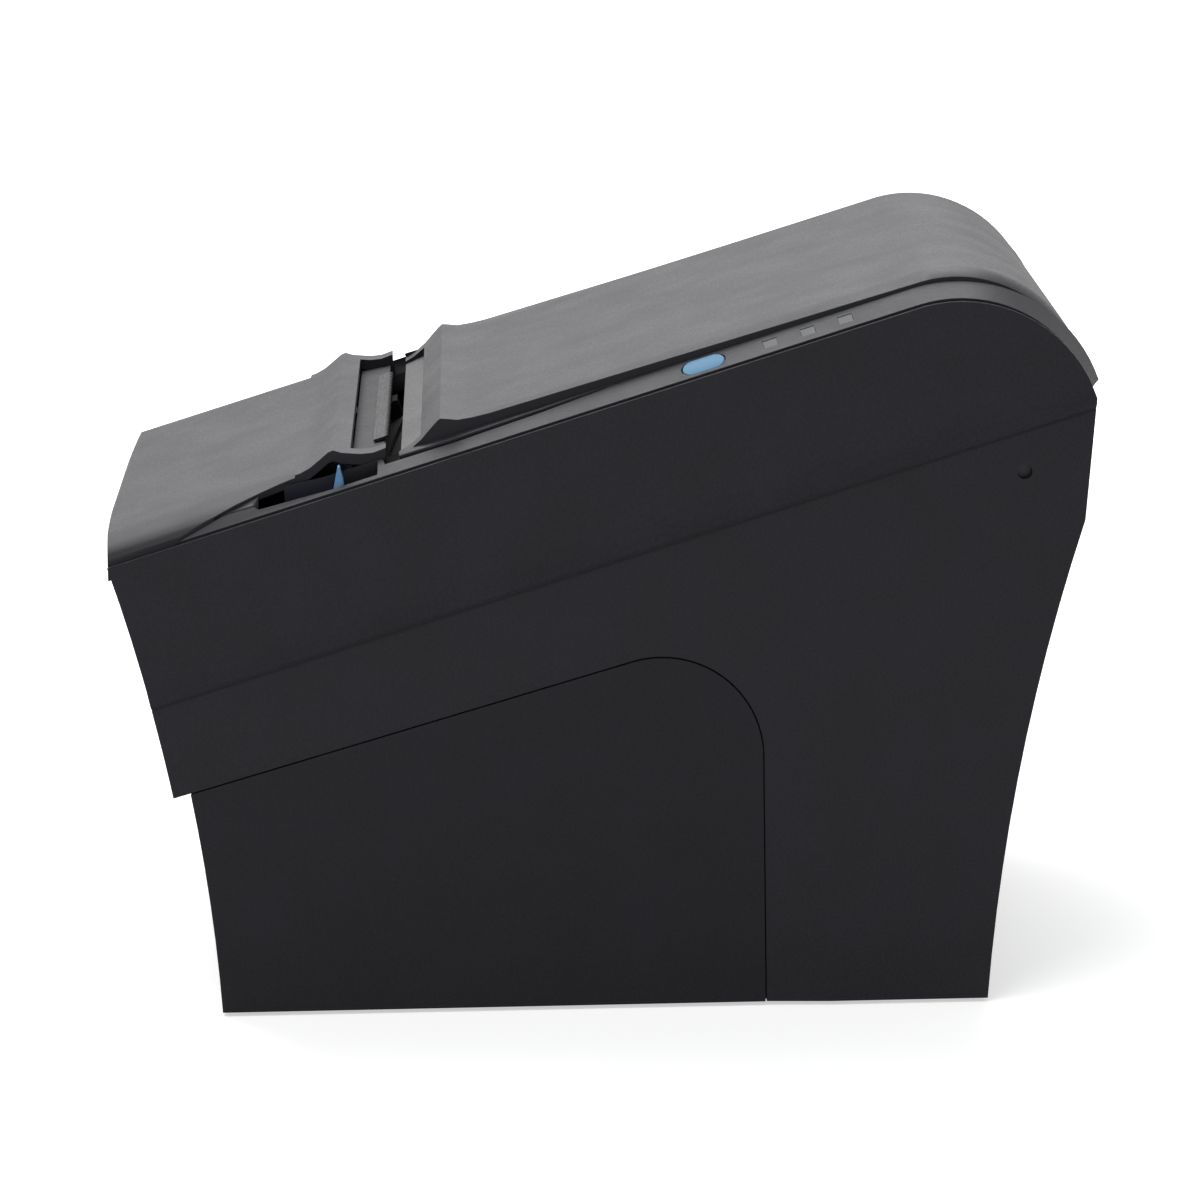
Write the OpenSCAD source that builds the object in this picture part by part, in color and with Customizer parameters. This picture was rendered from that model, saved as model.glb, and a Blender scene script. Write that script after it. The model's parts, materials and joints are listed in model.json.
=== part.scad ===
// Desk-top receipt printer: wedge-shaped casing, lift-up paper cover, thermal
// print mechanism with guillotine cutter, and a rear connector bay.
// X runs across the printer (right side +X), Y from the front (-Y) to the
// rear, Z up. Side outlines are drawn in (Y, Z) and swept across X.

/* [Casing] */
// Width over the side creases
body_w = 145; // [140:1:152]
// Slope of the top, in degrees
slope = 16.9; // [16:0.1:18]
// Height of the shoulder line above the middle of the footprint
shoulder_z = 120.1; // [118:0.5:124]
// Wall thickness of the casings
wall = 2.5; // [2.2:0.1:2.8]
// Y of the housing front at the shoulder
front_top_y = -95.9; // [-100:0.5:-94]
// Y at which the front sweep would meet the desk
front_foot_y = -79.3; // [-82:0.5:-78]
// Radius of the concave front sweep
front_sweep_r = 355; // [300:5:450]
// Y of the centre of the rear hump
hump_y = 71; // [70:0.5:73]
// Radius of the hump at the shoulder
hump_r = 28; // [27:0.5:29]
// Y of the rear knee
knee_y = 95.4; // [94.5:0.1:96.5]
// Height of the rear knee
knee_z = 97; // [94:0.5:99]
// Y of the rear foot
rear_foot_y = 76; // [75:0.5:78]
// Radius of the concave rear sweep
rear_sweep_r = 421; // [380:5:480]
// Gap between the casing and the desk
desk_gap = 0.8; // [0.6:0.1:1.5]
// Depth of the recessed middle panel of the rear wall
rear_recess = 2.8; // [2.4:0.1:3]
// How far the crease stands proud of the lower side
crease_lip = 0.4; // [0.2:0.1:0.6]
// Drop from the shoulder to the crease, square to the slope
crease_drop = 28.5; // [24:0.5:32]

/* [Lower case] */
// Y of the upright edge of the side arch
arch_y = 31.9; // [28:0.5:36]
// Corner radius of the side arch
arch_r = 20; // [16:1:24]
// Slope of the arch's upper edge, in degrees
arch_slope = 15.9; // [14:0.1:17]
// Height of the arch's upper edge, extended to Y = 0
arch_z = 68.3; // [64:0.5:72]
// Step from the upper front down to the lower front
front_step = 3.5; // [3:0.1:4]
// Width of the dished border round the arch
dish_w = 13; // [8:1:16]
// Depth of the dished border
dish_d = 1.0; // [0.6:0.1:1.2]

/* [Top] */
// Width of the paper cover
cover_w = 126; // [124:1:128]
// Height of the cover plane over the shoulder, square to the slope
cover_rise = 4.9; // [4.4:0.1:5.4]
// Thickness of the cover and the bezel
skin = 2.2; // [2:0.1:2.4]
// Y of the front ridge
front_ridge_y = -51.5; // [-53:0.5:-50]
// Y of the cover's ridge
cover_ridge_y = -30.4; // [-31:0.1:-29.5]
// Y of the middle of the paper slot
slot_y = -39.8; // [-40:0.1:-39.5]
// Width of the gap between bezel and cover at the slot
slot_gap = 2.8; // [2.4:0.1:3]
// Width of the mouth recess
mouth_w = 114; // [108:1:118]
// Running gap between the cover and its surroundings
gap = 0.4; // [0.3:0.1:0.5]

/* [Hinge] */
// Y of the cover hinge
hinge_y = 83.5; // [83:0.1:84]
// Height of the cover hinge
hinge_z = 106.8; // [106:0.1:107.5]
// Radius of the hinge pins
hinge_pin_r = 1.5; // [1.3:0.1:1.7]

/* [Paper] */
// Radius of the paper well
roll_r = 41.5; // [40:0.5:42]
// Inner width of the paper well
well_w = 82; // [80:1:84]
// Y of the roll's centre
roll_y = 37; // [36:0.5:37.5]
// Height of the roll's centre
roll_z = 70; // [69:0.5:72]

/* [Mechanism] */
// Radius of the platen roller
platen_r = 6.2; // [5.8:0.1:6.3]
// Length of the platen roller
platen_len = 82; // [80:1:84]
// Radius of the platen shaft
platen_shaft_r = 2.5; // [2.2:0.1:2.8]
// Gear module of the feed train
feed_mod = 0.6; // [0.6:0.01:0.62]
// Travel of the cutter blade
cut_travel = 6; // [5:0.5:6]

/* [Hidden] */
$fn = 96;
big = 400;
half_w = body_w / 2;
tan_s = tan(slope);
cos_s = cos(slope);
sin_s = sin(slope);

function shoulder(y) = shoulder_z + tan_s * y;
function cover_plane(y) = shoulder(y) + cover_rise / cos_s;

// Point q at distance s along the slope and n square to it, from point o.
function on_slope(o, s, n) = [o.x + s * cos_s - n * sin_s, o.y + s * sin_s + n * cos_s];
// Where the line through p along d meets the line through q along e.
function cross2(a, b) = a.x * b.y - a.y * b.x;
function meet(p, d, q, e) = p + d * cross2(q - p, e) / cross2(d, e);
function unit(v) = v / norm(v);
function left_of(v) = [-v.y, v.x];
// A counter-clockwise polygon with every edge moved inwards by t.
function inset(p, t) = let (n = len(p)) [
    for (i = [0 : n - 1])
        let (a = p[(i + n - 1) % n], b = p[i], c = p[(i + 1) % n],
             d = unit(b - a), e = unit(c - b))
        meet(b + left_of(d) * t, d, b + left_of(e) * t, e)];
// Points of an arc about c, from angle a to angle b.
function arc(c, r, a, b, n = 10) = [
    for (i = [0 : n]) let (t = a + (b - a) * i / n) c + r * [cos(t), sin(t)]];
// Centre of the circle of radius r through p and q, on the left of p to q.
function sweep_centre(p, q, r) =
    (p + q) / 2 + left_of(unit(q - p)) * sqrt(r * r - norm(q - p) * norm(q - p) / 4);

hump = [hump_y, shoulder(hump_y) - hump_r / cos_s];
corner_angle = 17.7;
front_top = [front_top_y, shoulder(front_top_y)];
front_foot = [front_foot_y, 0];
rear_corner = hump + hump_r * [cos(corner_angle), sin(corner_angle)];
knee = [knee_y, knee_z];
rear_foot = [rear_foot_y, 0];
front_sweep = sweep_centre(front_foot, front_top, front_sweep_r);
rear_sweep = sweep_centre(knee, rear_foot, rear_sweep_r);
below = 30;
slope_dir = [cos_s, sin_s];
rear_rise = unit(rear_corner - knee);
outline = [front_foot + unit(front_foot - front_top) * below, rear_foot + unit(rear_foot - knee) * below,
           knee, meet(knee, rear_rise, front_top, slope_dir), front_top];
// All of the section plane except the corner that the hump's arc rounds off.
unrounded = [hump, hump + left_of(slope_dir) * 60, [-big, big], [-big, -big], [big, -big], hump + [60, 2]];
// The arc runs this much proud of its tangent, so that it crosses it cleanly.
overshoot = 0.03;

// Sweeps a (Y, Z) outline across X, centred.
module across(w) translate([-w / 2, 0, 0]) rotate([90, 0, 90]) linear_extrude(w) children();
// The same between two values of X.
module from_to(x0, x1) translate([x0, 0, 0]) rotate([90, 0, 90]) linear_extrude(x1 - x0) children();
// Draws in the sloped frame: X, along the slope, square to it; origin at (y, z).
module sloped(y, z) translate([0, y, z]) rotate([slope, 0, 0]) children();
module both_sides() { children(); mirror([1, 0, 0]) children(); }

// Side outline of the housing, moved inwards by t.
module side_outline(t = 0) difference() {
    intersection() {
        polygon(inset(outline, t));
        union() {
            translate(hump) circle(hump_r - t + overshoot, $fn = 256);
            polygon(unrounded);
        }
    }
    translate(front_sweep) circle(front_sweep_r + t, $fn = 256);
    translate(rear_sweep) circle(rear_sweep_r + t, $fn = 256);
    translate([-big / 2, desk_gap - big]) square(big);
}

arch_dir = [cos(arch_slope), sin(arch_slope)];
arch_c = [arch_y - arch_r, arch_z + tan(arch_slope) * (arch_y - arch_r) - arch_r / cos(arch_slope)];
// Region under the side arch, grown by g. It runs on past the front and the foot.
module arch_region(g = 0) {
    touch = arch_c + (arch_r + g) * left_of(arch_dir);
    polygon([touch, touch - arch_dir * big / 2, [touch.x - big / 2, -big / 2],
             [arch_c.x + arch_r + g, -big / 2], [arch_c.x + arch_r + g, arch_c.y], arch_c]);
    translate(arch_c) circle(arch_r + g);
}

// ---------------------------------------------------------------- casings
side_in = half_w - crease_lip - wall;         // inner face of the side walls
rebate_half = half_w - 2.1;                   // half width between the thin top edges
bezel_half = rebate_half - 0.2;               // outer edge of the top bezel
hump_cut_z = rear_corner.y - 3.4;             // top edge of the rear wall
cover_half = cover_w / 2;
rear_in = rear_recess + wall;

// Cross-section of the housing, square to the slope: X against height over
// the shoulder. The band above the crease leans in and flares at its foot.
module housing_section() {
    band = crease_drop;
    right = [[half_w - 0.9, 0], [half_w - 0.8, 6 - band], [half_w - 0.6, 2.5 - band],
             [half_w, -band], [half_w - crease_lip, -band - 0.5], [half_w - crease_lip, -big]];
    polygon([each [for (i = [len(right) - 1 : -1 : 0]) right[i]],
             [half_w - 0.9, 40], [0.9 - half_w, 40], each [for (p = right) [-p.x, p.y]]]);
}

module screw_post(r, h) cylinder(r = r, h = h);

front_post = [55, -66];
rear_post = [64.6, 66];
post_r = 3.6;
screw_r = 1.5;
head_r = 2.9;
front_post_top = 48;
rear_post_bottom = 4.4;

module housing() color("#26262a") {
    difference() {
        union() {
            difference() {
                intersection() {
                    across(big) side_outline();
                    sloped(0, shoulder_z) rotate([90, 0, 0]) translate([0, 0, -big / 2])
                        linear_extrude(big) housing_section();
                }
                // inside
                across(2 * side_in) intersection() {
                    side_outline(wall);
                    union() {
                        side_outline(rear_in);
                        translate([-big / 2, -1]) square([big / 2 + 40, big]);
                    }
                }
                // open top, for the bezel and the cover
                across(2 * side_in) polygon([
                    [-big / 2, shoulder(-big / 2) - 3.6], [-88, shoulder(-88) - 3.6], [-86, shoulder(-86) - 9],
                    [60, shoulder(60) - 9], [60, hump_cut_z],
                    [big / 2, hump_cut_z], [big / 2, big], [-big / 2, big]]);
                across(2 * rebate_half) difference() {
                    polygon([[-91, 82], [hump_y, 100], [hump_y + 10, hump_cut_z], [120, hump_cut_z], [120, 200], [-91, 200]]);
                    side_outline(5.4);
                }
                translate([-rebate_half, -big / 2, nose_foot_z - 0.8]) cube([2 * rebate_half, big / 2 - 88.6, big]);
                // recessed middle panel of the rear wall
                across(2 * (cover_half + 1)) intersection() {
                    difference() { side_outline(-1); side_outline(rear_recess); }
                    translate([40, -1]) square([big / 2, big]);
                }
                // room for the lower case
                across(big) arch_region(0.25);
                both_sides() arch_dish();
                // connector bay
                across(2 * bay_half + 2 * wall + 0.6)
                    polygon([[40, -1], [120, -1], [120, bay_roof(120) + 0.2], [40, bay_roof(40) + 0.2]]);
            }
            // hinge bosses
            both_sides() from_to(hinge_boss_x, side_in + 0.5) translate([hinge_y, hinge_z]) circle(4.2);
            // ledges that carry the paper well
            both_sides() sloped(0, shoulder_z) translate([side_in - 3.4, deck_front_s + 3, deck_n - 4.3])
                cube([3.6, deck_len - 8, 2]);
            // bosses for the case screws
            both_sides() {
                translate([front_post.x, front_post.y, front_post_top + 0.3]) screw_post(post_r, 12);
                difference() {
                    translate([front_post.x - 1.2, front_top_y, front_post_top + 4.6])
                        cube([2.4, front_post.y - front_top_y - post_r + 0.6, 9]);
                    across(big) difference() { translate([-big, 0]) square(2 * big); side_outline(wall - 0.3); }
                }
                translate([rear_post.x, rear_post.y, rear_post_bottom]) screw_post(post_r, 16);
                translate([rear_post.x, rear_post.y - 1.2, rear_post_bottom])
                    cube([side_in - rear_post.x + 0.3, 2.4, 16]);
            }
        }
        from_to(side_in - 1, side_in + 1.2) translate(lever_pin) circle(lever_pin_r + 0.03);
        // hinge pin holes
        both_sides() translate([hinge_boss_x - 1, hinge_y, hinge_z]) rotate([0, 90, 0])
            cylinder(r = hinge_pin_r, h = big / 4);
        // slots in the rear wall that the cover's hinge arms swing through
        both_sides() from_to(arm_x[0] - 0.5, arm_x[1] + 0.5)
            translate([hinge_y + hinge_arm_r + 0.4, hinge_z - 2]) square(30);
        both_sides() {
            translate([front_post.x, front_post.y, front_post_top]) cylinder(r = screw_r, h = 9);
            translate([rear_post.x, rear_post.y, rear_post_bottom - 0.1]) cylinder(r = screw_r, h = 12);
        }
    }
}

// Shallow dished border outside the arch, cut into the right side wall.
module arch_dish() {
    face = half_w - crease_lip;
    hull() {
        from_to(face - dish_d, face - dish_d + 0.01) dish_region(0.25);
        from_to(face + 0.01, face + 0.02) dish_region(dish_w);
    }
}
module dish_region(g) intersection() {
    arch_region(g, $fn = 64);
    translate([-110, -20]) square([big / 2, big / 2]);
}

bay_half = 58;
bay_y = 56;
bay_z = 25.4;
function bay_roof(y) = bay_z + (y - bay_y) * 0.25;
lower_face = half_w - crease_lip - dish_d + 0.3;

module base_case() color("#232327") difference() {
    union() {
        // side walls under the arch, with a lip behind the housing
        both_sides() {
            from_to(lower_face - wall, lower_face) intersection() {
                arch_region();
                side_outline(front_step);
            }
            from_to(side_in - 2.2, side_in - 0.3) intersection() {
                difference() { arch_region(3); arch_region(-4); }
                side_outline(front_step);
            }
        }
        // lower front, and the lip behind the housing front
        across(2 * lower_face - 1) intersection() {
            difference() { side_outline(front_step); side_outline(front_step + wall); }
            arch_region();
            translate([-big / 2, 0]) square([big / 2 - 50, big]);
        }
        across(2 * side_in - 2) intersection() {
            difference() { side_outline(front_step); side_outline(front_step + wall); }
            translate([-big / 2, 20]) square([big / 2 - 50, 32]);
        }
        // floor
        across(2 * side_in - 1) intersection() {
            side_outline(rear_in + 0.4);
            translate([-big / 2, desk_gap]) square([big, wall]);
        }
        across(2 * (bay_half + wall)) intersection() {
            side_outline(1.2);
            translate([bay_y - 3, desk_gap]) square([60, wall]);
        }
        // connector bay: roof and sides
        across(2 * (bay_half + wall)) intersection() {
            side_outline(1.2);
            polygon([[bay_y - 1, bay_roof(bay_y - 1) - 2], [120, bay_roof(120) - 2],
                     [120, bay_roof(120)], [bay_y - 1, bay_roof(bay_y - 1)]]);
        }
        both_sides() from_to(bay_half, bay_half + wall) intersection() {
            side_outline(1.2);
            polygon([[bay_y - 1, desk_gap], [120, desk_gap], [120, bay_roof(120)],
                     [bay_y - 1, bay_roof(bay_y - 1)]]);
        }
        // posts for the front screws, the mechanism and the boards
        for (x = [-40, 40], y = [-52, -24]) difference() {
            translate([x, y, desk_gap + 1]) cylinder(r = 4, h = 70);
            mech() translate([-80, -80, chassis_n - 0.05]) cube(160);
        }
        both_sides() translate([front_post.x, front_post.y, desk_gap])
            cylinder(r = post_r + 0.6, h = front_post_top - desk_gap);
        for (p = board_posts) translate([p.x, p.y, desk_gap + wall - 0.1])
            cylinder(r = 3, h = board_z - desk_gap - wall + 0.1);
    }
    both_sides() {
        translate([front_post.x, front_post.y, -1]) cylinder(r = head_r + 0.1, h = front_post_top - 1);
        translate([front_post.x, front_post.y, -1]) cylinder(r = screw_r + 0.2, h = big);
        translate([rear_post.x, rear_post.y, -1]) cylinder(r = screw_r + 0.2, h = 10);
    }
    for (p = board_posts) translate([p.x, p.y, desk_gap + 1]) cylinder(r = 1.1, h = 20);
    for (p = feet) translate([p.x, p.y, -1]) cylinder(r = foot_r + 0.1, h = desk_gap + 1.8);
}

foot_r = 6;
feet = [for (x = [-1, 1], y = [-62, 52]) [x * 44, y]];
module rubber_feet() color("#111111")
    for (p = feet) translate([p.x, p.y, 0]) cylinder(r1 = foot_r - 0.5, r2 = foot_r, h = desk_gap + 0.8);

module case_screws() color("silver") both_sides() {
    translate([front_post.x, front_post.y, front_post_top - 4.2]) {
        cylinder(r = head_r - 0.1, h = 2.2);
        cylinder(r = screw_r, h = 11);
    }
    translate([rear_post.x, rear_post.y, desk_gap - 0.2]) {
        cylinder(r = screw_r, h = 14);
    }
}

// ---------------------------------------------------------------- top bezel
// Height of the strip surface over the shoulder at its inner edge.
strip_rise = 2.9;
nose_r = 3;
nose_y = front_top_y - 1.77;
nose_bow_r = 1360;
strip_in = cover_half + gap;
nose_c = [nose_y + nose_r, cover_plane(nose_y + nose_r) - nose_r / cos_s];
ridge_tip = [front_ridge_y, cover_plane(front_ridge_y) + 2.5];
valley_low = [front_ridge_y + 5.4, ridge_tip.y - 0.8];
bezel_end = slot_y - slot_gap / 2;
valley_end = [bezel_end, ridge_tip.y + 0.3];
cover_start = slot_y + slot_gap / 2;
mouth_front = bezel_end - 7;
mouth_floor = ridge_tip.y - 3.4;
flare_foot = front_ridge_y - 6.6;
nose_foot_z = front_top.y - 3.1;

// Top line of the front hood, from the nose to the paper slot.
hood_top = [
    [nose_y + 0.9, nose_foot_z], [nose_y, nose_c.y],
    each arc(nose_c, nose_r, 180, 90 + slope, 6),
    [flare_foot, cover_plane(flare_foot)],
    [flare_foot + 2, cover_plane(flare_foot) + 1.1],
    [flare_foot + 3.6, cover_plane(flare_foot) + 2.4],
    ridge_tip - [1.0, 0.4], ridge_tip,
    ridge_tip + [1.6, -0.5], valley_low, valley_low + [2.4, 0.2], valley_end];

// The hood's cross-section: flat middle, sides that roll down to the shoulder.
module hood_section(drop) {
    edge = bezel_half;
    roll = [for (i = [0 : 6]) let (t = i / 6) [edge - 13 * (1 - sin(90 * t)), cover_rise * (cos(90 * t)) - drop]];
    polygon([each roll, [edge, -60], [-edge, -60],
             each [for (i = [6 : -1 : 0]) [-roll[i].x, roll[i].y]]]);
}

hood_half = strip_in - gap;
// The hood is full width at the nose and narrows to fit between the strips.
hood_plan = [[bezel_half, -110], [bezel_half, -83], [bezel_half - 2.2, -75], [bezel_half - 5.4, -66],
    [hood_half, -60], [hood_half, 0]];
module hood_area() polygon([each hood_plan, each [for (i = [len(hood_plan) - 1 : -1 : 0])
    [-hood_plan[i].x, hood_plan[i].y]]]);

// Strip cross-section, right side: X against height over the shoulder.
module strip_section() polygon([
    [strip_in, -4.6], [strip_in + 1.6, -4.6], [strip_in + 1.6, -skin + 0.6], [bezel_half - 1.5, -skin],
    [bezel_half - 1.5, -4], [bezel_half, -4], [bezel_half, 0], [strip_in, strip_rise]]);

// The strips follow a slightly tighter bend than the side walls, and stop
// above the rear corner. Straight and bent lengths meet in a joint line.
strip_r = 26.6;
strip_c = hump + [-0.05, 1.45];
strip_end_angle = corner_angle + 1;
joint_line = 0.04;
module strip() sloped(strip_c.x, strip_c.y) translate([0, -joint_line, strip_r]) rotate([90, 0, 0])
    linear_extrude(170) strip_section();
module strip_bend() translate([0, strip_c.x, strip_c.y]) rotate([90, 0, 90]) rotate([0, 0, strip_end_angle])
    rotate_extrude(angle = 90 + slope - strip_end_angle, $fn = 180)
        translate([strip_r, 0]) mirror([1, -1, 0]) strip_section();

// Finger scoop along the inner edge of a strip.
module scoop() sloped(0, shoulder_z) translate([0, 0, -1]) linear_extrude(8) polygon([
    [strip_in - 1, -43], [strip_in + 2.6, -42.6], [strip_in + 2.7, -28], [strip_in + 1.9, -10], [strip_in + 0.8, 2],
    [strip_in - 1, 9]]);

// The slot in the right strip that the cover lever stands in.
lever_slot = [-65.9, -42.7];
module top_bezel() color("#3a3a3e") {
    straight_bezel();
    both_sides() strip_bend();
}
module straight_bezel() difference() {
    union() {
        both_sides() intersection() {
            strip();
            translate([0, 0, -1]) linear_extrude(big) difference() {
                translate([0, -84]) square(big);
                translate([-gap, 0]) hood_area();
                translate([gap, 0]) hood_area();
            }
        }
        // bridge under the hood
        across(2 * bezel_half - 5.4) sloped_bar();
        both_sides() sloped(0, shoulder_z) translate([bezel_half - 6.4, bridge_s, -5.4]) cube([3.7, 24, 3.4]);
    }
    both_sides() scoop();
    // lever slot
    translate([strip_in + 0.3, lever_slot[0], 60]) cube([5.2, lever_slot[1] - lever_slot[0], 80]);
    // feed button and lamp holes
    sloped(0, shoulder_z) {
        translate([button_x, button_s, -10]) stadium(button_l + 0.5, button_w + 0.5, 20);
        for (s = lamp_s) translate([button_x - lamp_w / 2 - 0.05, s - lamp_w / 2 - 0.05, -10])
            cube([lamp_w + 0.1, lamp_w + 0.1, 20]);
    }
}
bridge_s = -86;
module sloped_bar() {
    a = [bridge_s * cos_s, shoulder_z + bridge_s * sin_s];
    polygon([a + [1.6, -5.4], a + [7, -3.8], a + [6.4, -1.8], a + [1, -3.4]]);
}

module front_cover() color("#3a3a3e") difference() {
    intersection() {
        difference() {
            across(2 * bezel_half) polygon([each hood_top, [bezel_end, ridge_tip.y - 6],
                [nose_y + 30, nose_foot_z + 29 * tan_s]]);
            hood_hollow();
        }
        translate([0, nose_y + nose_bow_r, 0]) cylinder(r = nose_bow_r, h = big, $fn = 256);
        union() {
            sloped(0, shoulder_z) rotate([90, 0, 0]) translate([0, 0, -big / 2])
                linear_extrude(big) hood_section(0);
            // the ridge stands up from the rolled sides
            translate([-bezel_half, flare_foot - 1, 0]) cube([2 * bezel_half, big, big]);
        }
        linear_extrude(big) hood_area();
    }
    // mouth recess
    translate([-mouth_w / 2, mouth_front, mouth_floor - 8]) cube([mouth_w, big / 4, big / 4]);
}
module hood_hollow() {
    lower = [for (p = hood_top) p - [0, skin]];
    n = len(lower);
    across(2 * bezel_half - 2 * skin) polygon([
        [nose_y + skin + 0.9, nose_foot_z - 1], [nose_y + skin, nose_c.y],
        [nose_y + nose_r + 0.4, cover_plane(nose_y + nose_r) - skin - 0.6],
        each [for (i = [9 : n - 2]) lower[i]],
        [bezel_end - 1.6, valley_end.y - skin], [bezel_end - 1.6, ridge_tip.y - 12], [nose_y + 30, nose_foot_z + 27 * tan_s - 1]]);
}

// A stadium-shaped prism, long axis along Y.
module stadium(l, w, h) {
    r = w / 2;
    for (e = [-1, 1]) translate([0, e * (l / 2 - r), 0]) cylinder(r = r, h = h);
    translate([-r, r - l / 2, 0]) cube([w, l - w, h]);
}

button_x = (strip_in + bezel_half) / 2;
button_l = 8.6;
button_w = 4.6;
button_s = 21.7 / cos_s;
button_travel = 0.8;
lamp_w = 2.8;
lamp_s = [for (i = [0 : 2]) (34.8 + 7.35 * i) / cos_s];
panel_n = -8.2;

// Everything under the sloping face of the right strip, from one level up.
module under_strip(level, lift) rotate([90, 0, 0]) translate([0, 0, -big / 2]) linear_extrude(big)
    polygon([[strip_in, level], [bezel_half, level], [bezel_half, lift], [strip_in, strip_rise + lift]]);

module feed_button() color("#5fb4e6") sloped(0, shoulder_z) {
    intersection() {
        translate([button_x, button_s, panel_n + 4.4]) stadium(button_l, button_w, big / 4);
        under_strip(panel_n + 4.4, 0.3);
    }
    translate([button_x, button_s, panel_n + 3.4]) cylinder(r = 1.6, h = 1.2);
}
module lamp_lenses() color("#c9d2cf") sloped(0, shoulder_z) intersection() {
    for (s = lamp_s) translate([button_x - lamp_w / 2, s - lamp_w / 2, -4.2]) cube([lamp_w, lamp_w, big / 4]);
    under_strip(-4.2, 0.05);
}

module panel_board() color("#1c5a34") sloped(0, shoulder_z) {
    translate([strip_in + 0.3, button_s - 8, panel_n]) cube([side_in - strip_in - 0.6, 46, 1.2]);
    for (s = lamp_s) translate([button_x - 1.2, s - 1.2, panel_n + 1.1]) cube([2.4, 2.4, 1.6]);
    translate([button_x - 2.5, button_s - 2.5, panel_n + 1.1]) cube([5, 5, 1.4]);
}

// ---------------------------------------------------------------- paper cover
cover_hump_r = 26.6;
cover_touch_y = 63;
cover_hump = [cover_touch_y + cover_hump_r * sin_s, cover_plane(cover_touch_y) - cover_hump_r * cos_s];
cover_tip = [cover_ridge_y, cover_plane(cover_ridge_y) + 2.0];
cover_rear_z = hump_cut_z + 0.3;
cover_rear_angle = asin((cover_rear_z - cover_hump.y) / cover_hump_r);
scoop_foot = [cover_start, cover_tip.y - 7.2];
mouth_back = cover_start + 4.1;

cover_line = [
    scoop_foot, scoop_foot + [2.0, 1.2], scoop_foot + [4.2, 3.1], scoop_foot + [6.2, 5.4],
    cover_tip - [0.7, 0.6], cover_tip, cover_tip + [1.4, -0.1], cover_tip + [3.4, -0.3],
    cover_tip + [6.2, cover_plane(cover_ridge_y + 6.2) - cover_tip.y + 0.25],
    [cover_ridge_y + 9.4, cover_plane(cover_ridge_y + 9.4)],
    [cover_touch_y, cover_plane(cover_touch_y)]];

module cover_shape(t) intersection() {
    polygon([each [for (p = cover_line) p - [0, t / cos_s]], [120, cover_plane(120) - t / cos_s],
             [120, cover_rear_z], [70, cover_rear_z], [cover_start, scoop_foot.y - 8]]);
    union() {
        translate(cover_hump) circle(cover_hump_r - t + overshoot, $fn = 256);
        polygon([cover_hump, cover_hump + left_of(slope_dir) * 60, [-big, big], [-big, -big], [cover_hump.x, -big]]);
    }
}

module paper_cover() color("#3d3d41") difference() {
    across(cover_w) cover_shape(0);
    across(cover_w - 2 * skin) intersection() {
        cover_shape(skin);
        translate([cover_start + skin, 0]) square(big);
    }
    // the skirts stop level with the strips
    across(cover_w + 1) difference() {
        side_outline(4.2);
        translate([cover_hump.x, 90]) square([big, 4]);
    }
    // mouth recess
    translate([-mouth_w / 2, cover_start - 1, mouth_floor + 0.4]) cube([mouth_w, mouth_back - cover_start + 1, 40]);
    // finger scoops
    both_sides() sloped(0, shoulder_z) translate([0, 0, -8]) linear_extrude(8.6) polygon([
        [cover_half + 1, -42], [cover_half - 0.9, -41], [cover_half - 0.9, -20], [cover_half - 0.5, -6], [cover_half + 1, 9]]);
}

// ---------------------------------------------------------------- print line
// Sloped frame of the mechanism: s along the slope and n square to it, with
// the origin at the paper slot, level with the floor of the mouth.
mech_o = [slot_y, mouth_floor];
module mech() sloped(mech_o.x, mech_o.y) children();
// Sweeps an (s, n) outline between two values of X in that frame.
module mech_from(x0, x1) mech() from_to(x0, x1) children();
arm_x = [57, 60.4];
hinge_boss_x = 61.2;
hinge_arm_r = 5;
bracket_x = [43.6, 46.6];
plate_x = [47.3, 48.8];
hook_x = [49.6, 51.4];
gear_x = [52.6, 55.4];
liner_n = -4.6;
platen_at = [platen_r + 0.35, -17.2];
platen_c = on_slope(mech_o, platen_at.x, platen_at.y);
bush_r = 4;
chassis_n = -44;
chassis_s = [-36, 15];

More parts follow.
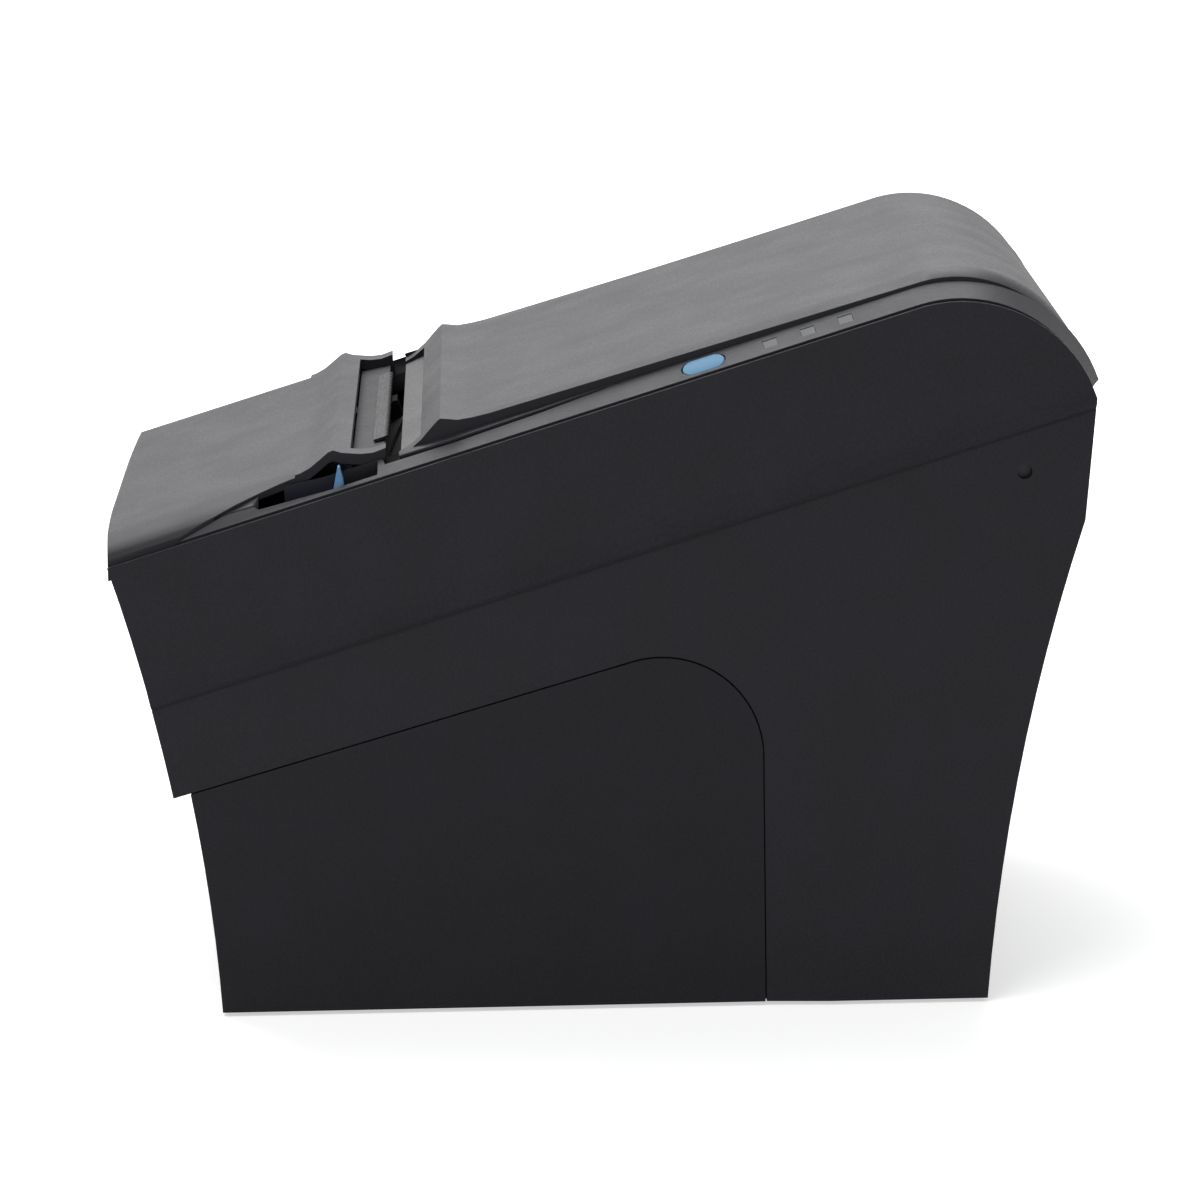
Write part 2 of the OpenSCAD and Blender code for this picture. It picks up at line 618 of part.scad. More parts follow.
module cover_liner() color("#2c2c30") difference() {
    union() {
        // inner plate under the cover
        sloped(0, shoulder_z) translate([-cover_half + skin + 0.2, (cover_start + 11) / cos_s, liner_n])
            cube([cover_w - 2 * skin - 0.4, (74 - cover_start - 11) / cos_s, 1.8]);
        // platen brackets
        both_sides() from_to(bracket_x[0], bracket_x[1]) {
            translate(platen_c) circle(bush_r + 2);
            polygon([platen_c + [-0.6, bush_r + 1.8], platen_c + [5.4, -2.5],
                     [platen_c.x + 27, shoulder(platen_c.x + 27) + liner_n / cos_s + 0.5],
                     [cover_start + 11.4, shoulder(cover_start + 11.4) + liner_n / cos_s + 0.5]]);
        }
        // hinge arms
        both_sides() from_to(arm_x[0], arm_x[1]) {
            translate([hinge_y, hinge_z]) circle(hinge_arm_r);
            polygon([[hinge_y - hinge_arm_r + 0.3, hinge_z - 1], [hinge_y + hinge_arm_r - 0.3, hinge_z + 1],
                     [hinge_y + 1, hinge_z + 18], [73.5, shoulder(73.5) + liner_n / cos_s + 0.6],
                     [56, shoulder(56) + liner_n / cos_s + 0.6]]);
        }
        // ribs over the roll
        for (x = [-30, -10, 10, 30]) from_to(x - 0.8, x + 0.8) difference() {
            polygon([[-4, shoulder(-4) + liner_n / cos_s + 0.4], [2, shoulder(2) - 12], [64, shoulder(64) - 20],
                     [70, shoulder(70) + liner_n / cos_s + 0.4]]);
            translate([roll_y, roll_z]) circle(roll_r + 2.5);
        }
    }
    both_sides() {
        translate([arm_x[0] - 1, hinge_y, hinge_z]) rotate([0, 90, 0]) cylinder(r = hinge_pin_r + 0.05, h = 10);
        translate([bracket_x[0] - 1, platen_c.x, platen_c.y]) rotate([0, 90, 0]) cylinder(r = bush_r, h = 10);
    }
}

module hinge_pins() color("silver") both_sides()
    translate([arm_x[0] - 0.6, hinge_y, hinge_z]) rotate([0, 90, 0])
        cylinder(r = hinge_pin_r - 0.03, h = side_in + 1.2 - arm_x[0]);

// Strip of the cover behind the paper slot, with the fixed blade under it.
module slot_panel() color("#2a2a2e") across(mouth_w - 0.6) polygon([
    [cover_start + 0.1, mouth_floor + 0.45], [mouth_back - 0.1, mouth_floor + 0.45],
    [mouth_back - 0.1, mouth_floor + 3.4], [cover_start + 0.1, mouth_floor + 1.6]]);
blade_n = -7.4;
module fixed_blade() color("silver") mech_from(0.3 - bracket_x[0], bracket_x[0] - 0.3)
    polygon([[1.6, blade_n + 1.2], [3.0, blade_n + 0.4], [9, blade_n + 0.4], [9, blade_n + 1.2]]);
module blade_holder() color("#1d1d20") mech_from(0.3 - bracket_x[0], bracket_x[0] - 0.3)
    polygon([[3.6, blade_n + 1.25], [12.4, blade_n + 1.25], [12.4, -1.9], [10.4, -1.9], [9.0, -3.6], [3.6, -3.6]]);

// ---------------------------------------------------------------- platen
module platen_roller() color("#18181a") difference() {
    mech_from(-platen_len / 2, platen_len / 2) translate(platen_at) circle(platen_r);
    mech_from(-60, 60) translate(platen_at) circle(platen_shaft_r);
}
module platen_shaft() color("silver") mech_from(-gear_x[1] - 0.8, bracket_x[1] + 5.4)
    translate(platen_at) circle(platen_shaft_r - 0.02);
module platen_bushes() color("#e6e2d6") both_sides() difference() {
    union() {
        mech_from(bracket_x[0] - 0.2, hook_x[1] + 0.2) translate(platen_at) circle(bush_r - 0.03);
        mech_from(bracket_x[0] - 1.2, bracket_x[0] - 0.2) translate(platen_at) circle(bush_r + 1);
    }
    mech_from(0, 60) translate(platen_at) circle(platen_shaft_r + 0.04);
}

// Gear outline centred on the origin, a tooth at the given angle.
function gear_points(teeth, m, at) = let (p = 360 / teeth, r = m * teeth / 2) [
    for (i = [0 : teeth - 1]) each [
        for (k = [[-0.35, -1.2], [-0.2, 0], [-0.1, 0.8], [0.1, 0.8], [0.2, 0], [0.35, -1.2]])
            let (a = at + p * (i + k.x)) (r + m * k.y) * [cos(a), sin(a)]]];
platen_teeth = 24;
idler_teeth = 40;
pinion_teeth = 12;
motor_at = [-21, -31.5];
function pitch_r(teeth) = teeth * feed_mod / 2;
span_mi = pitch_r(pinion_teeth) + pitch_r(idler_teeth);
span_ip = pitch_r(idler_teeth) + pitch_r(platen_teeth);
span_mp = norm(platen_at - motor_at);
along = (span_mi * span_mi - span_ip * span_ip + span_mp * span_mp) / (2 * span_mp);
mp_dir = unit(platen_at - motor_at);
idler_at = motor_at + mp_dir * along - left_of(mp_dir) * sqrt(span_mi * span_mi - along * along);
function heading(v) = atan2(v.y, v.x);
idler_phase = heading(motor_at - idler_at);
pinion_phase = idler_phase + 180 + 180 / pinion_teeth;
mesh_lead = (idler_phase - heading(platen_at - idler_at)) * idler_teeth / 360;
platen_phase = heading(idler_at - platen_at) - (mesh_lead - floor(mesh_lead)) * 360 / platen_teeth + 180 / platen_teeth;

module platen_gear() color("#e9e9e4") mech_from(-gear_x[1], -gear_x[0]) translate(platen_at) difference() {
    polygon(gear_points(platen_teeth, feed_mod, platen_phase));
    circle(platen_shaft_r);
}
module idler_gear() color("#e9e9e4") mech() translate([0, idler_at.x, idler_at.y]) difference() {
    union() {
        from_to(-gear_x[1], -gear_x[0]) difference() {
            polygon(gear_points(idler_teeth, feed_mod, idler_phase));
            for (a = [0 : 60 : 300]) rotate(a + 30) translate([7, 0]) circle(2.2);
        }
        from_to(-gear_x[1] - 0.8, -gear_x[0] + 0.6) circle(3);
    }
    from_to(-60, 0) circle(1.55);
}
module idler_post() color("silver") mech() translate([0, idler_at.x, idler_at.y]) {
    from_to(-gear_x[1] - 1.6, -plate_x[0] + 0.5) circle(1.5);
    from_to(-gear_x[1] - 2.4, -gear_x[1] - 1.2) circle(2.5);
}
module motor_pinion() color("#c9a54a") mech() translate([0, motor_at.x, motor_at.y]) {
    from_to(-gear_x[1], -gear_x[0]) polygon(gear_points(pinion_teeth, feed_mod, pinion_phase));
    from_to(-gear_x[1] - 1, -38.4) circle(1);
}
module feed_motor() color("#8b8d90") mech() translate([0, motor_at.x, motor_at.y]) difference() {
    union() {
        from_to(-plate_x[0] + 0.1, -30) circle(9.8);
        from_to(-plate_x[0] + 0.1, -plate_x[0] + 1.2) {
            polygon([[-10.4, -2.6], [10.4, -2.6], [10.4, 2.6], [-10.4, 2.6]]);
            for (e = [-10.4, 10.4]) translate([e, 0]) circle(2.6);
        }
        from_to(-plate_x[1] - 0.4, -plate_x[0] + 0.5) circle(3.4);
        from_to(-40, -34) polygon([[-5, -10.5], [5, -10.5], [5, 0], [-5, 0]]);
    }
    from_to(-60, -37) circle(1.2);
}

// ---------------------------------------------------------------- chassis
cutter_s = -36.8;
chassis_outline = [[chassis_s[0], chassis_n], [chassis_s[1], chassis_n], [chassis_s[1], -19], [13.4, -11.6],
    [-1.5, -9.4], [chassis_s[0], -9.4]];
module chassis() color("#a9abad") difference() {
    union() {
        both_sides() mech_from(plate_x[0], plate_x[1]) polygon(chassis_outline);
        mech_from(-plate_x[1], plate_x[1]) {
            translate([chassis_s[0], chassis_n]) square([chassis_s[1] - chassis_s[0], 1.5]);
            translate([chassis_s[0], chassis_n]) square([1.5, 34.6]);
        }
        // paper ramp in front of the roll
        mech_from(-plate_x[1], plate_x[1])
            polygon([[13.5, -34], [15, -34], [15, -27], [12.2, -25.4], [11.4, -26.2], [13.5, -27.6]]);
    }
    // guides for the platen bushes
    both_sides() mech_from(plate_x[0] - 1, plate_x[1] + 1) {
        translate(platen_at) circle(bush_r + 0.12);
        polygon([platen_at - [bush_r + 0.12, 0], platen_at + [bush_r + 0.12, 0],
                 platen_at + [bush_r + 6.5, 12], platen_at + [-bush_r - 0.5, 12]]);
    }
    both_sides() mech_from(plate_x[0] - 1, plate_x[1] + 1) translate(latch_at) circle(latch_r + 0.05);
    both_sides() mech_from(plate_x[0] - 1, plate_x[1] + 1) translate(head_pivot) circle(1.25);
    mech_from(-60, 0) {
        translate(motor_at) circle(3.5);
        translate(idler_at) circle(1.5);
    }
    // lightening windows
    mech_from(0, 60) translate([-22, -30]) square([14, 12]);
    mech() for (x = [-40, 40], y = [chassis_s[0] + 7, chassis_s[0] + 33]) translate([x, y, chassis_n - 1]) cylinder(r = 1.6, h = 4);
}

// Lever pivot, and the directions along and across the line to the latch.
lever_pin = [-53, 85.5];
lever_x = [64.5, 68.1];
lever_pin_r = 2;
latch_at = [2, -37];
latch_r = 2;
latch_pin = on_slope(mech_o, latch_at.x, latch_at.y);
link_u = unit(latch_pin - lever_pin);
link_w = -left_of(link_u);

// Hooks that hold the platen down, on a cross shaft.
hook_tip = platen_at + [2.6, bush_r + 0.35];
module latch() color("#d7d7d2") {
    mech_from(-hook_x[1], hook_x[1] + 3.4) translate(latch_at) circle(latch_r);
    both_sides() mech_from(hook_x[0], hook_x[1]) {
        translate(latch_at) circle(4);
        polygon([latch_at + [-3.4, 0], latch_at + [3.5, 0], platen_at + [-bush_r - 0.9, -6], platen_at + [-bush_r - 0.45, 2],
                 platen_at + [-bush_r + 1.2, bush_r + 0.35], hook_tip, hook_tip + [0.6, 2.6],
                 platen_at + [-bush_r - 0.5, bush_r + 4], platen_at + [-bush_r - 3.5, 2]]);
    }
    // arm that the lever pushes
    from_to(hook_x[1] + 0.6, hook_x[1] + 3.2) {
        translate(latch_pin) circle(3.6);
        polygon([latch_pin + link_w * 7.4, latch_pin + link_w * 3.4, latch_pin + link_u * 3, latch_pin + link_w * -2,
                 latch_pin + link_u * -3 + link_w * 1, latch_pin + link_u * -3 + link_w * 3.4,
                 lever_pin + link_u * 3.35 + link_w * 3.4, lever_pin + link_u * 3.35 + link_w * 7.4]);
    }
}
// Cover lever: a fin and a curved shutter on a side pivot.
module open_lever() color("#8fc4e8") difference() {
    union() {
        from_to(lever_x[0] - 0.4, lever_x[1] + 0.2) difference() {
            intersection() {
                translate(lever_pin) circle(17.8);
                translate(lever_pin) polygon([[0, 0], [-11.2, 24], [13, 24]]);
            }
            translate(lever_pin) circle(16.2);
        }
        from_to(lever_x[0] + 0.4, lever_x[1] - 0.6) polygon([
            lever_pin + [-3, 0], lever_pin + [3, 0], lever_pin + [3.8, 17.4], lever_pin + [3.5, 21.4],
            lever_pin + [3.0, 23.2], lever_pin + [2.2, 23.2], lever_pin + [1.1, 17.4]]);
        from_to(lever_x[0], lever_x[1] - 0.4) translate(lever_pin) circle(4.6);
        // tail that works the latch
        from_to(hook_x[1] + 0.7, hook_x[1] + 5) polygon([
            lever_pin + link_u * -3 - link_w * 3, lever_pin + link_u * 3 - link_w * 3,
            lever_pin + link_u * 3 + link_w * 6, lever_pin + link_u * 1.15 + link_w * 12.6,
            lever_pin + link_u + link_w * 17.5, lever_pin - link_u + link_w * 17.5]);
        from_to(hook_x[1] + 4.6, lever_x[0] + 0.5) translate(lever_pin) circle(3.6);
    }
    from_to(50, 72) translate(lever_pin) circle(lever_pin_r + 0.05);
}
module lever_pivot() color("silver") from_to(hook_x[1] + 0.2, side_in + 1.1) translate(lever_pin) circle(lever_pin_r);

// ---------------------------------------------------------------- print head
head_pivot = [-2.9, -28.9];
module thermal_head() color("#5d4a3a") mech_from(-platen_len / 2 - 1, platen_len / 2 + 1)
    polygon([[-1.1, -26.2], [-0.15, -26.2], [-0.15, -15.8], [-0.45, -11.4], [-1.1, -11.4]]);
module head_plate() color("#bfc1c3") {
    mech_from(-platen_len / 2 - 2, platen_len / 2 + 2)
        polygon([[-4.6, -28.6], [-1.1, -28.6], [-1.1, -11.6], [-4.6, -11.6]]);
    both_sides() mech_from(platen_len / 2 - 4, platen_len / 2 + 2) {
        translate(head_pivot) circle(2.4);
        polygon([head_pivot + [-2.4, 0], head_pivot + [1.7, 0], [-1.1, -26.4], [-4.6, -26.4]]);
    }
    mech_from(-plate_x[1] - 0.4, plate_x[1] + 0.4) translate(head_pivot) circle(1.2);
}
spring_back = -12.5;
module head_springs() color("silver") both_sides() mech() for (i = [0 : 6])
    translate([22, -5.9 - i * 1.0, -19.6]) rotate([90, 0, 0]) rotate_extrude($fn = 48) translate([3, 0]) circle(0.55, $fn = 24);
module spring_beam() color("#a9abad") {
    mech_from(0.05 - plate_x[0], plate_x[0] - 0.05) translate([spring_back - 1.2, -21.3]) square([1.2, 5.7]);
    mech_from(-28, 28) translate([spring_back - 1.2, -26]) square([1.2, 10]);
    both_sides() mech() translate([22, spring_back - 0.5, -19.6]) rotate([-90, 0, 0]) cylinder(r = 1.8, h = 3);
}

// ---------------------------------------------------------------- cutter
module cutter_frame() color("#b7b9bb") difference() {
    mech() {
        translate([-plate_x[1], cutter_s, -9.35]) cube([2 * plate_x[1], -0.9 - cutter_s, 0.9]);
        both_sides() translate([42, cutter_s, -8.6]) cube([plate_x[1] - 42, -1.5 - cutter_s, 4.8]);
        translate([-plate_x[1], cutter_s, -8.6]) cube([2 * plate_x[1], 1.2, 4.8]);
        translate([-plate_x[1], cutter_s, -4.6]) cube([2 * plate_x[1], 6, 1.2]);
        both_sides() translate([40.6, cutter_s, -4.6]) cube([plate_x[1] - 40.6, -1.5 - cutter_s, 1.2]);
    }
    mech() translate([crank_at.x, crank_at.y, -12]) cylinder(r = 2.05, h = 6);
    mech() translate([-34, -30, -12]) cube([12, 4, 6]);
}
// Guillotine blade, driven by a pinion that turns in a racked window.
crank_at = [-18, -21];
drive_mod = 0.6;
drive_teeth = 16;
wheel_teeth = 30;
drive_r = drive_mod * drive_teeth / 2;
module cutter_blade() color("#d5d7d9") mech() difference() {
    translate([0, 0, blade_n - 0.6]) linear_extrude(0.8) polygon([
        [-41.4, -35.2], [41.4, -35.2], [41.4, -1.2], [0, -4.4], [-41.4, -1.2]]);
    translate([crank_at.x, crank_at.y, -12]) linear_extrude(10) polygon([
        [-drive_r - 1.2, -12.6], [drive_r, -12.6],
        each [for (i = [-4 : 3]) each [for (k = [[0.15, 1.2], [0.35, 0.7], [0.42, -0.6], [0.58, -0.6], [0.65, 0.7]])
            [drive_r + 0.12 + drive_mod * k.y * 0.9, (i + k.x) * PI * drive_mod]]],
        [drive_r, 7.6], [-drive_r - 1.2, 7.6]]);
    for (x = [-38, 14]) translate([x, -24, -12]) cube([12, 8, 10]);
}
module cutter_gear() color("#e9e9e4") mech() translate([crank_at.x, crank_at.y, 0]) {
    translate([0, 0, -14.4]) linear_extrude(3.2) difference() {
        polygon(gear_points(wheel_teeth, drive_mod, 0));
        for (a = [45 : 90 : 315]) rotate(a) translate([5.4, 0]) circle(1.3);
    }
    translate([0, 0, -14.4]) cylinder(r = 2, h = 6.6);
    translate([0, 0, -8.1]) linear_extrude(1.1) polygon(gear_points(drive_teeth, drive_mod, 0));
}
cut_motor_at = crank_at + [drive_mod * (wheel_teeth + 10) / 2, 0];
module cutter_pinion() color("#c9a54a") mech() translate([cut_motor_at.x, cut_motor_at.y, 0]) {
    translate([0, 0, -14.6]) linear_extrude(3.6) polygon(gear_points(10, drive_mod, 180 + 18));
    translate([0, 0, -24]) cylinder(r = 0.75, h = 13.2);
}
module cutter_motor() color("#9a9c9e") mech() translate([cut_motor_at.x, cut_motor_at.y, 0]) difference() {
    union() {
        translate([0, 0, -35]) cylinder(r = 7, h = 18.6);
        translate([0, 0, -17]) cylinder(r = 2.5, h = 1.4);
        translate([-1.5, -13.2, -17.8]) cube([3, 13, 1.4]);
    }
    translate([0, 0, -25]) cylinder(r = 0.8, h = 20);
}

// Panel that closes the front of the mouth, with the tear-off edge.
tear_teeth = 40;
module mouth_plate() color("#6a6b6e") difference() {
    union() {
        across(mouth_w - 0.8) polygon([[mouth_front + 0.3, mouth_floor - 1.2], [bezel_end - 0.5, mouth_floor + 0.2],
            [bezel_end - 0.5, mouth_floor + 1.4], [mouth_front + 0.3, mouth_floor + 0.2]]);
        across(mouth_w - 0.8) polygon([[mouth_front + 0.3, mouth_floor - 3.6], [mouth_front + 1.5, mouth_floor - 3.6],
            [mouth_front + 1.5, mouth_floor], [mouth_front + 0.3, mouth_floor]]);
    }
}
module tear_bar() color("silver") translate([0, bezel_end - 2.6, mouth_floor + 1.15]) rotate([slope, 0, 0])
    linear_extrude(0.5) polygon([
        [-41, 0], [41, 0], each [for (i = [tear_teeth : -1 : 0]) each [
            [(i - tear_teeth / 2) * 82 / tear_teeth, 2.2],
            if (i > 0) [(i - 0.5 - tear_teeth / 2) * 82 / tear_teeth, 3.2]]]]);

// ---------------------------------------------------------------- paper well
deck_n = -18;
deck_front_s = -4;
deck_len = 64;
well_wall = 1.8;
well_c = [roll_y, roll_z];
module paper_well() color("#2e2e33") difference() {
    union() {
        across(well_w + 2 * well_wall) difference() {
            union() {
                translate(well_c) circle(roll_r + well_wall);
                polygon([well_c, well_c + [-roll_r - well_wall, 0], [roll_y - roll_r - well_wall, deck_z(roll_y - roll_r)],
                         [60, deck_z(60)], [roll_y + roll_r + well_wall, 96], well_c + [roll_r + well_wall, 0]]);
            }
            above_deck();
        }
        // deck over the top of the well
        across(2 * (side_in - 0.4)) polygon([[deck_y0, deck_z(deck_y0) - 2], [62, deck_z(62) - 2],
            [62, deck_z(62)], [deck_y0, deck_z(deck_y0)]]);
    }
    across(well_w) {
        translate(well_c) circle(roll_r);
        polygon([well_c - [roll_r, 0], well_c + [roll_r, 0], [roll_y + roll_r, 140], [roll_y - roll_r, 140]]);
    }
}
deck_y0 = -8;
function deck_z(y) = shoulder(y) + deck_n / cos_s;
module above_deck() polygon([[-60, deck_z(-60)], [60, deck_z(60)], [60.1, 101], [140, 97], [140, 300], [-60, 300]]);

// Paper-low switch on the left wall of the well.
sensor_at = [roll_y - 8, 52];
module paper_sensor() color("#101010") difference() {
    translate([-well_w / 2 - well_wall - 5.4, sensor_at.x - 4, sensor_at.y - 3]) cube([5.3, 12, 8]);
    from_to(-60, -42.6) translate(sensor_at + [6, 1]) circle(1.06);
}

// ---------------------------------------------------------------- electronics
board_z = 10;
board_posts = [for (x = [-50, 50], y = [-12, 33]) [x, y]];
module main_board() color("#1f5c38") difference() {
    translate([-54, -17.5, board_z + 0.05]) cube([108, 56, 1.6]);
    for (p = board_posts) translate([p.x, p.y, 0]) cylinder(r = 1.4, h = 20);
}
module board_screws() color("silver") for (p = board_posts) translate([p.x, p.y, 0]) {
    translate([0, 0, board_z + 1.7]) cylinder(r = 2.4, h = 1.4);
    translate([0, 0, board_z - 6]) cylinder(r = 1.05, h = 8);
}
module board_parts() color("#17171a") translate([0, 0, board_z + 1.65]) {
    translate([-12, 8, 0]) cube([20, 20, 1.6]);
    translate([18, 14, 0]) cube([14, 9, 1.4]);
    translate([-38, -2, 0]) cube([9, 16, 2.2]);
    for (p = [[-34, 30], [-24, 30], [26, 31], [38, 22]]) translate([p.x, p.y, 0]) cylinder(r = 4, h = 9);
    translate([-20, -12, 0]) cube([26, 5, 6]);
    translate([12, -12, 0]) cube([14, 5, 6]);
    translate([34, -12, 0]) cube([10, 5, 6]);
    translate([4, 31, 0]) cube([14, 6, 7]);
}
panel_t = 1.2;
bay_top = bay_roof(bay_y) - 2.2;
inlet_x = 44;
drawer_x = 22;
usb_x = 2;
serial_x = -24;
switch_x = -48;
port_z = 13.5;
module interface_panel() color("#8e9092") difference() {
    translate([-bay_half + 0.1, bay_y - 0.1, desk_gap + wall + 0.05]) cube([2 * bay_half - 0.2, panel_t, bay_top - desk_gap - wall - 0.3]);
    translate([inlet_x, bay_y - 2, port_z]) rotate([-90, 0, 0]) cylinder(r = 7.1, h = 6);
    translate([drawer_x - 6.1, bay_y - 2, port_z - 6.4]) cube([12.2, 6, 12.8]);
    translate([usb_x - 6.1, bay_y - 2, port_z - 5.6]) cube([12.2, 6, 11.2]);
    translate([serial_x - 9.1, bay_y - 2, port_z - 4.6]) cube([18.2, 6, 9.2]);
    for (x = [-12.5, 12.5]) translate([serial_x + x, bay_y - 2, port_z]) rotate([-90, 0, 0]) cylinder(r = 1.5, h = 6);
    translate([switch_x - 6.6, bay_y - 2, port_z - 5.1]) cube([13.2, 6, 10.2]);
}
module power_inlet() color("#141416") translate([inlet_x, bay_y, port_z]) difference() {
    union() {
        translate([0, -8, 0]) rotate([-90, 0, 0]) cylinder(r = 7, h = 10.2);
        translate([-7.5, -16, -5.5]) cube([15, 15.8, 12.4]);
    }
    translate([0, -6, 0]) rotate([-90, 0, 0]) cylinder(r = 5, h = 10);
}
module inlet_pins() color("#c9a54a") translate([inlet_x, bay_y, port_z])
    for (a = [90, 210, 330]) rotate([0, a, 0]) translate([2.4, -5.97, 0]) rotate([-90, 0, 0]) cylinder(r = 0.55, h = 3.8);
module drawer_port() color("#1b1b1d") translate([drawer_x, bay_y, port_z]) difference() {
    union() {
        translate([-6, -14, -6.2]) cube([12, 16, 12.4]);
    }
    translate([-4.85, -9, -4]) cube([9.7, 12, 6.4]);
    translate([-3, -9, -5.2]) cube([6, 12, 2]);
}
module usb_port() color("#c4c6c8") translate([usb_x, bay_y, port_z]) difference() {
    translate([-6, -14, -5.4]) cube([12, 16, 10.8]);
    difference() {
        translate([0, -9, 0]) rotate([-90, 0, 0]) linear_extrude(12)
            polygon([[-4.3, 4], [4.3, 4], [4.3, -2.2], [2.6, -4], [-2.6, -4], [-4.3, -2.2]]);
        translate([-2.8, -10, -1.6]) cube([5.6, 7.8, 3.2]);
    }
}
module serial_port() color("#b9bbbd") translate([serial_x, bay_y, port_z]) difference() {
    union() {
        translate([-9, -11, -4.5]) cube([18, 12.2, 9]);
        translate([-15.4, -0.2 - 1, -6.2]) cube([30.8, 1, 12.4]);
        translate([0, 0, 0]) rotate([-90, 0, 0]) linear_extrude(6) dsub(8.9, 8, 4.4);
        for (x = [-12.5, 12.5]) translate([x, -1, 0]) rotate([-90, 0, 0]) cylinder(r = 1.4, h = 6);
    }
    translate([0, -1, 0]) rotate([-90, 0, 0]) linear_extrude(8) dsub(8.3, 7.3, 3.9);
}
module dsub(a, b, h) polygon([[-a, -h], [a, -h], [b, h], [-b, h]]);
module serial_pins() color("#c9a54a") translate([serial_x, bay_y - 0.97, port_z]) {
    for (i = [-2 : 2]) translate([i * 2.76, 0, 1.42]) rotate([-90, 0, 0]) cylinder(r = 0.5, h = 1.8);
    for (i = [-1.5 : 1.5]) translate([i * 2.76, 0, -1.42]) rotate([-90, 0, 0]) cylinder(r = 0.5, h = 1.8);
}
module switch_body() color("#19191b") translate([switch_x, bay_y, port_z]) difference() {
    union() {
        translate([-6.5, -11, -5]) cube([13, 13, 10]);
        translate([-7.8, panel_t - 0.05, -6.2]) cube([15.6, 1.2, 12.4]);
    }
    translate([-5.8, -6.6, -4]) cube([11.6, 20, 8]);
    translate([0, -1.6, 0]) rotate([0, 0, 0]) cylinder(r = 0.85, h = 20, center = true);
}
rocker_y = -1.6;
module power_rocker() color("#222224") translate([switch_x, bay_y + rocker_y, port_z]) {
    translate([0, 0, -3.6]) linear_extrude(7.2) {
        circle(2.2);
        polygon([[-4.6, 3.9], [-4.6, 2.4], [-1.6, -1.4], [1.6, -1.4], [4.6, 2.4], [4.6, 4.6], [0, 3.8]]);
    }
    cylinder(r = 0.8, h = 9.2, center = true);
}

housing();
base_case();
rubber_feet();
case_screws();
top_bezel();
front_cover();
feed_button();
lamp_lenses();
panel_board();
paper_cover();
cover_liner();
hinge_pins();
slot_panel();
fixed_blade();
blade_holder();
platen_roller();
platen_shaft();
platen_bushes();
platen_gear();
idler_gear();
idler_post();
motor_pinion();
feed_motor();
chassis();
latch();
open_lever();
lever_pivot();
thermal_head();
head_plate();
head_springs();
spring_beam();
cutter_frame();
cutter_blade();
cutter_gear();
cutter_pinion();
cutter_motor();
mouth_plate();
tear_bar();
paper_well();
paper_sensor();
main_board();
board_screws();
board_parts();
interface_panel();
power_inlet();
inlet_pins();
drawer_port();
usb_port();
serial_port();
serial_pins();
switch_body();
power_rocker();
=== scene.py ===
# %% [markdown]
# # A receipt printer, dressed
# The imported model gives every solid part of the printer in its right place. This script
# leaves those parts where they are, gives each one the finish of the real thing, and swaps
# the few outer mouldings whose soft edges matter for rounded copies of the same shapes.

# %% Load the fixed frame
import bpy
import json
import math
from mathutils import Matrix, Vector

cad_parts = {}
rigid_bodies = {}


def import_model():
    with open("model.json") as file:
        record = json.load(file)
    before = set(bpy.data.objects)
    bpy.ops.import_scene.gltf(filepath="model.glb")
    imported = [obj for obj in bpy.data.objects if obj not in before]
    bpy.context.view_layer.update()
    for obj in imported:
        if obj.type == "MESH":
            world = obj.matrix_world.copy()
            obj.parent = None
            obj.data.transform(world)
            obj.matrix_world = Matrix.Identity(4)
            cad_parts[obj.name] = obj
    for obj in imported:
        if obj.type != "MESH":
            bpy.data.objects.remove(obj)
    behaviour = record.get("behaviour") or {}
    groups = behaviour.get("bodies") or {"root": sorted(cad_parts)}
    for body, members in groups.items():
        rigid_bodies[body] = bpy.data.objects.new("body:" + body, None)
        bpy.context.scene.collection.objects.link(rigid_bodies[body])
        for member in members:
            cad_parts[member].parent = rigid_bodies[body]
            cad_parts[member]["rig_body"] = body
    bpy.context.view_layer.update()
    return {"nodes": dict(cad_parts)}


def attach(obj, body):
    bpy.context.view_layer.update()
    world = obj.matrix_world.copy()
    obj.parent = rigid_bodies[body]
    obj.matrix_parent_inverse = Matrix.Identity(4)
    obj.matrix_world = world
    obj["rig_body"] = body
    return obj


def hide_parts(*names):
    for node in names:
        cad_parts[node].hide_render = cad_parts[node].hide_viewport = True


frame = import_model()
nodes = frame["nodes"]
MM = 0.001

# %% [markdown]
# ## Camera
# The printer is seen square from its right side with a long lens, from a little above, and
# the camera is turned about its own axis by one degree. The three directions below are the
# camera's right, up and backward axes, so they can be set straight into its matrix.

# %% Camera
camera_right = Vector((0.0242, 0.9996, -0.0152))
camera_back = Vector((0.9805, -0.0207, 0.1954)).normalized()
camera_up = camera_back.cross(camera_right).normalized()
camera_right = camera_up.cross(camera_back).normalized()
turn = Matrix((camera_right, camera_up, camera_back)).transposed().to_4x4()

bpy.ops.object.camera_add(location=(0, 0, 0))
camera = bpy.context.object
camera.name = "side_camera"
camera.matrix_world = Matrix.Translation((1.1618, -0.0228, 0.3001)) @ turn
camera.data.sensor_width = 36
camera.data.lens = 36 * 5681 / 1200
camera.data.clip_end = 20
bpy.context.scene.camera = camera
bpy.context.scene.view_settings.view_transform = "Standard"
print("lens:", round(camera.data.lens, 1), "mm")

# %% [markdown]
# ## Finishes
# Every finish is a small node tree. Its pattern reads Object coordinates, which are real
# metres here, so a grain of half a millimetre stays half a millimetre on every part. A noise
# drives three things at once: a little colour change, a little gloss change and a fine bump.

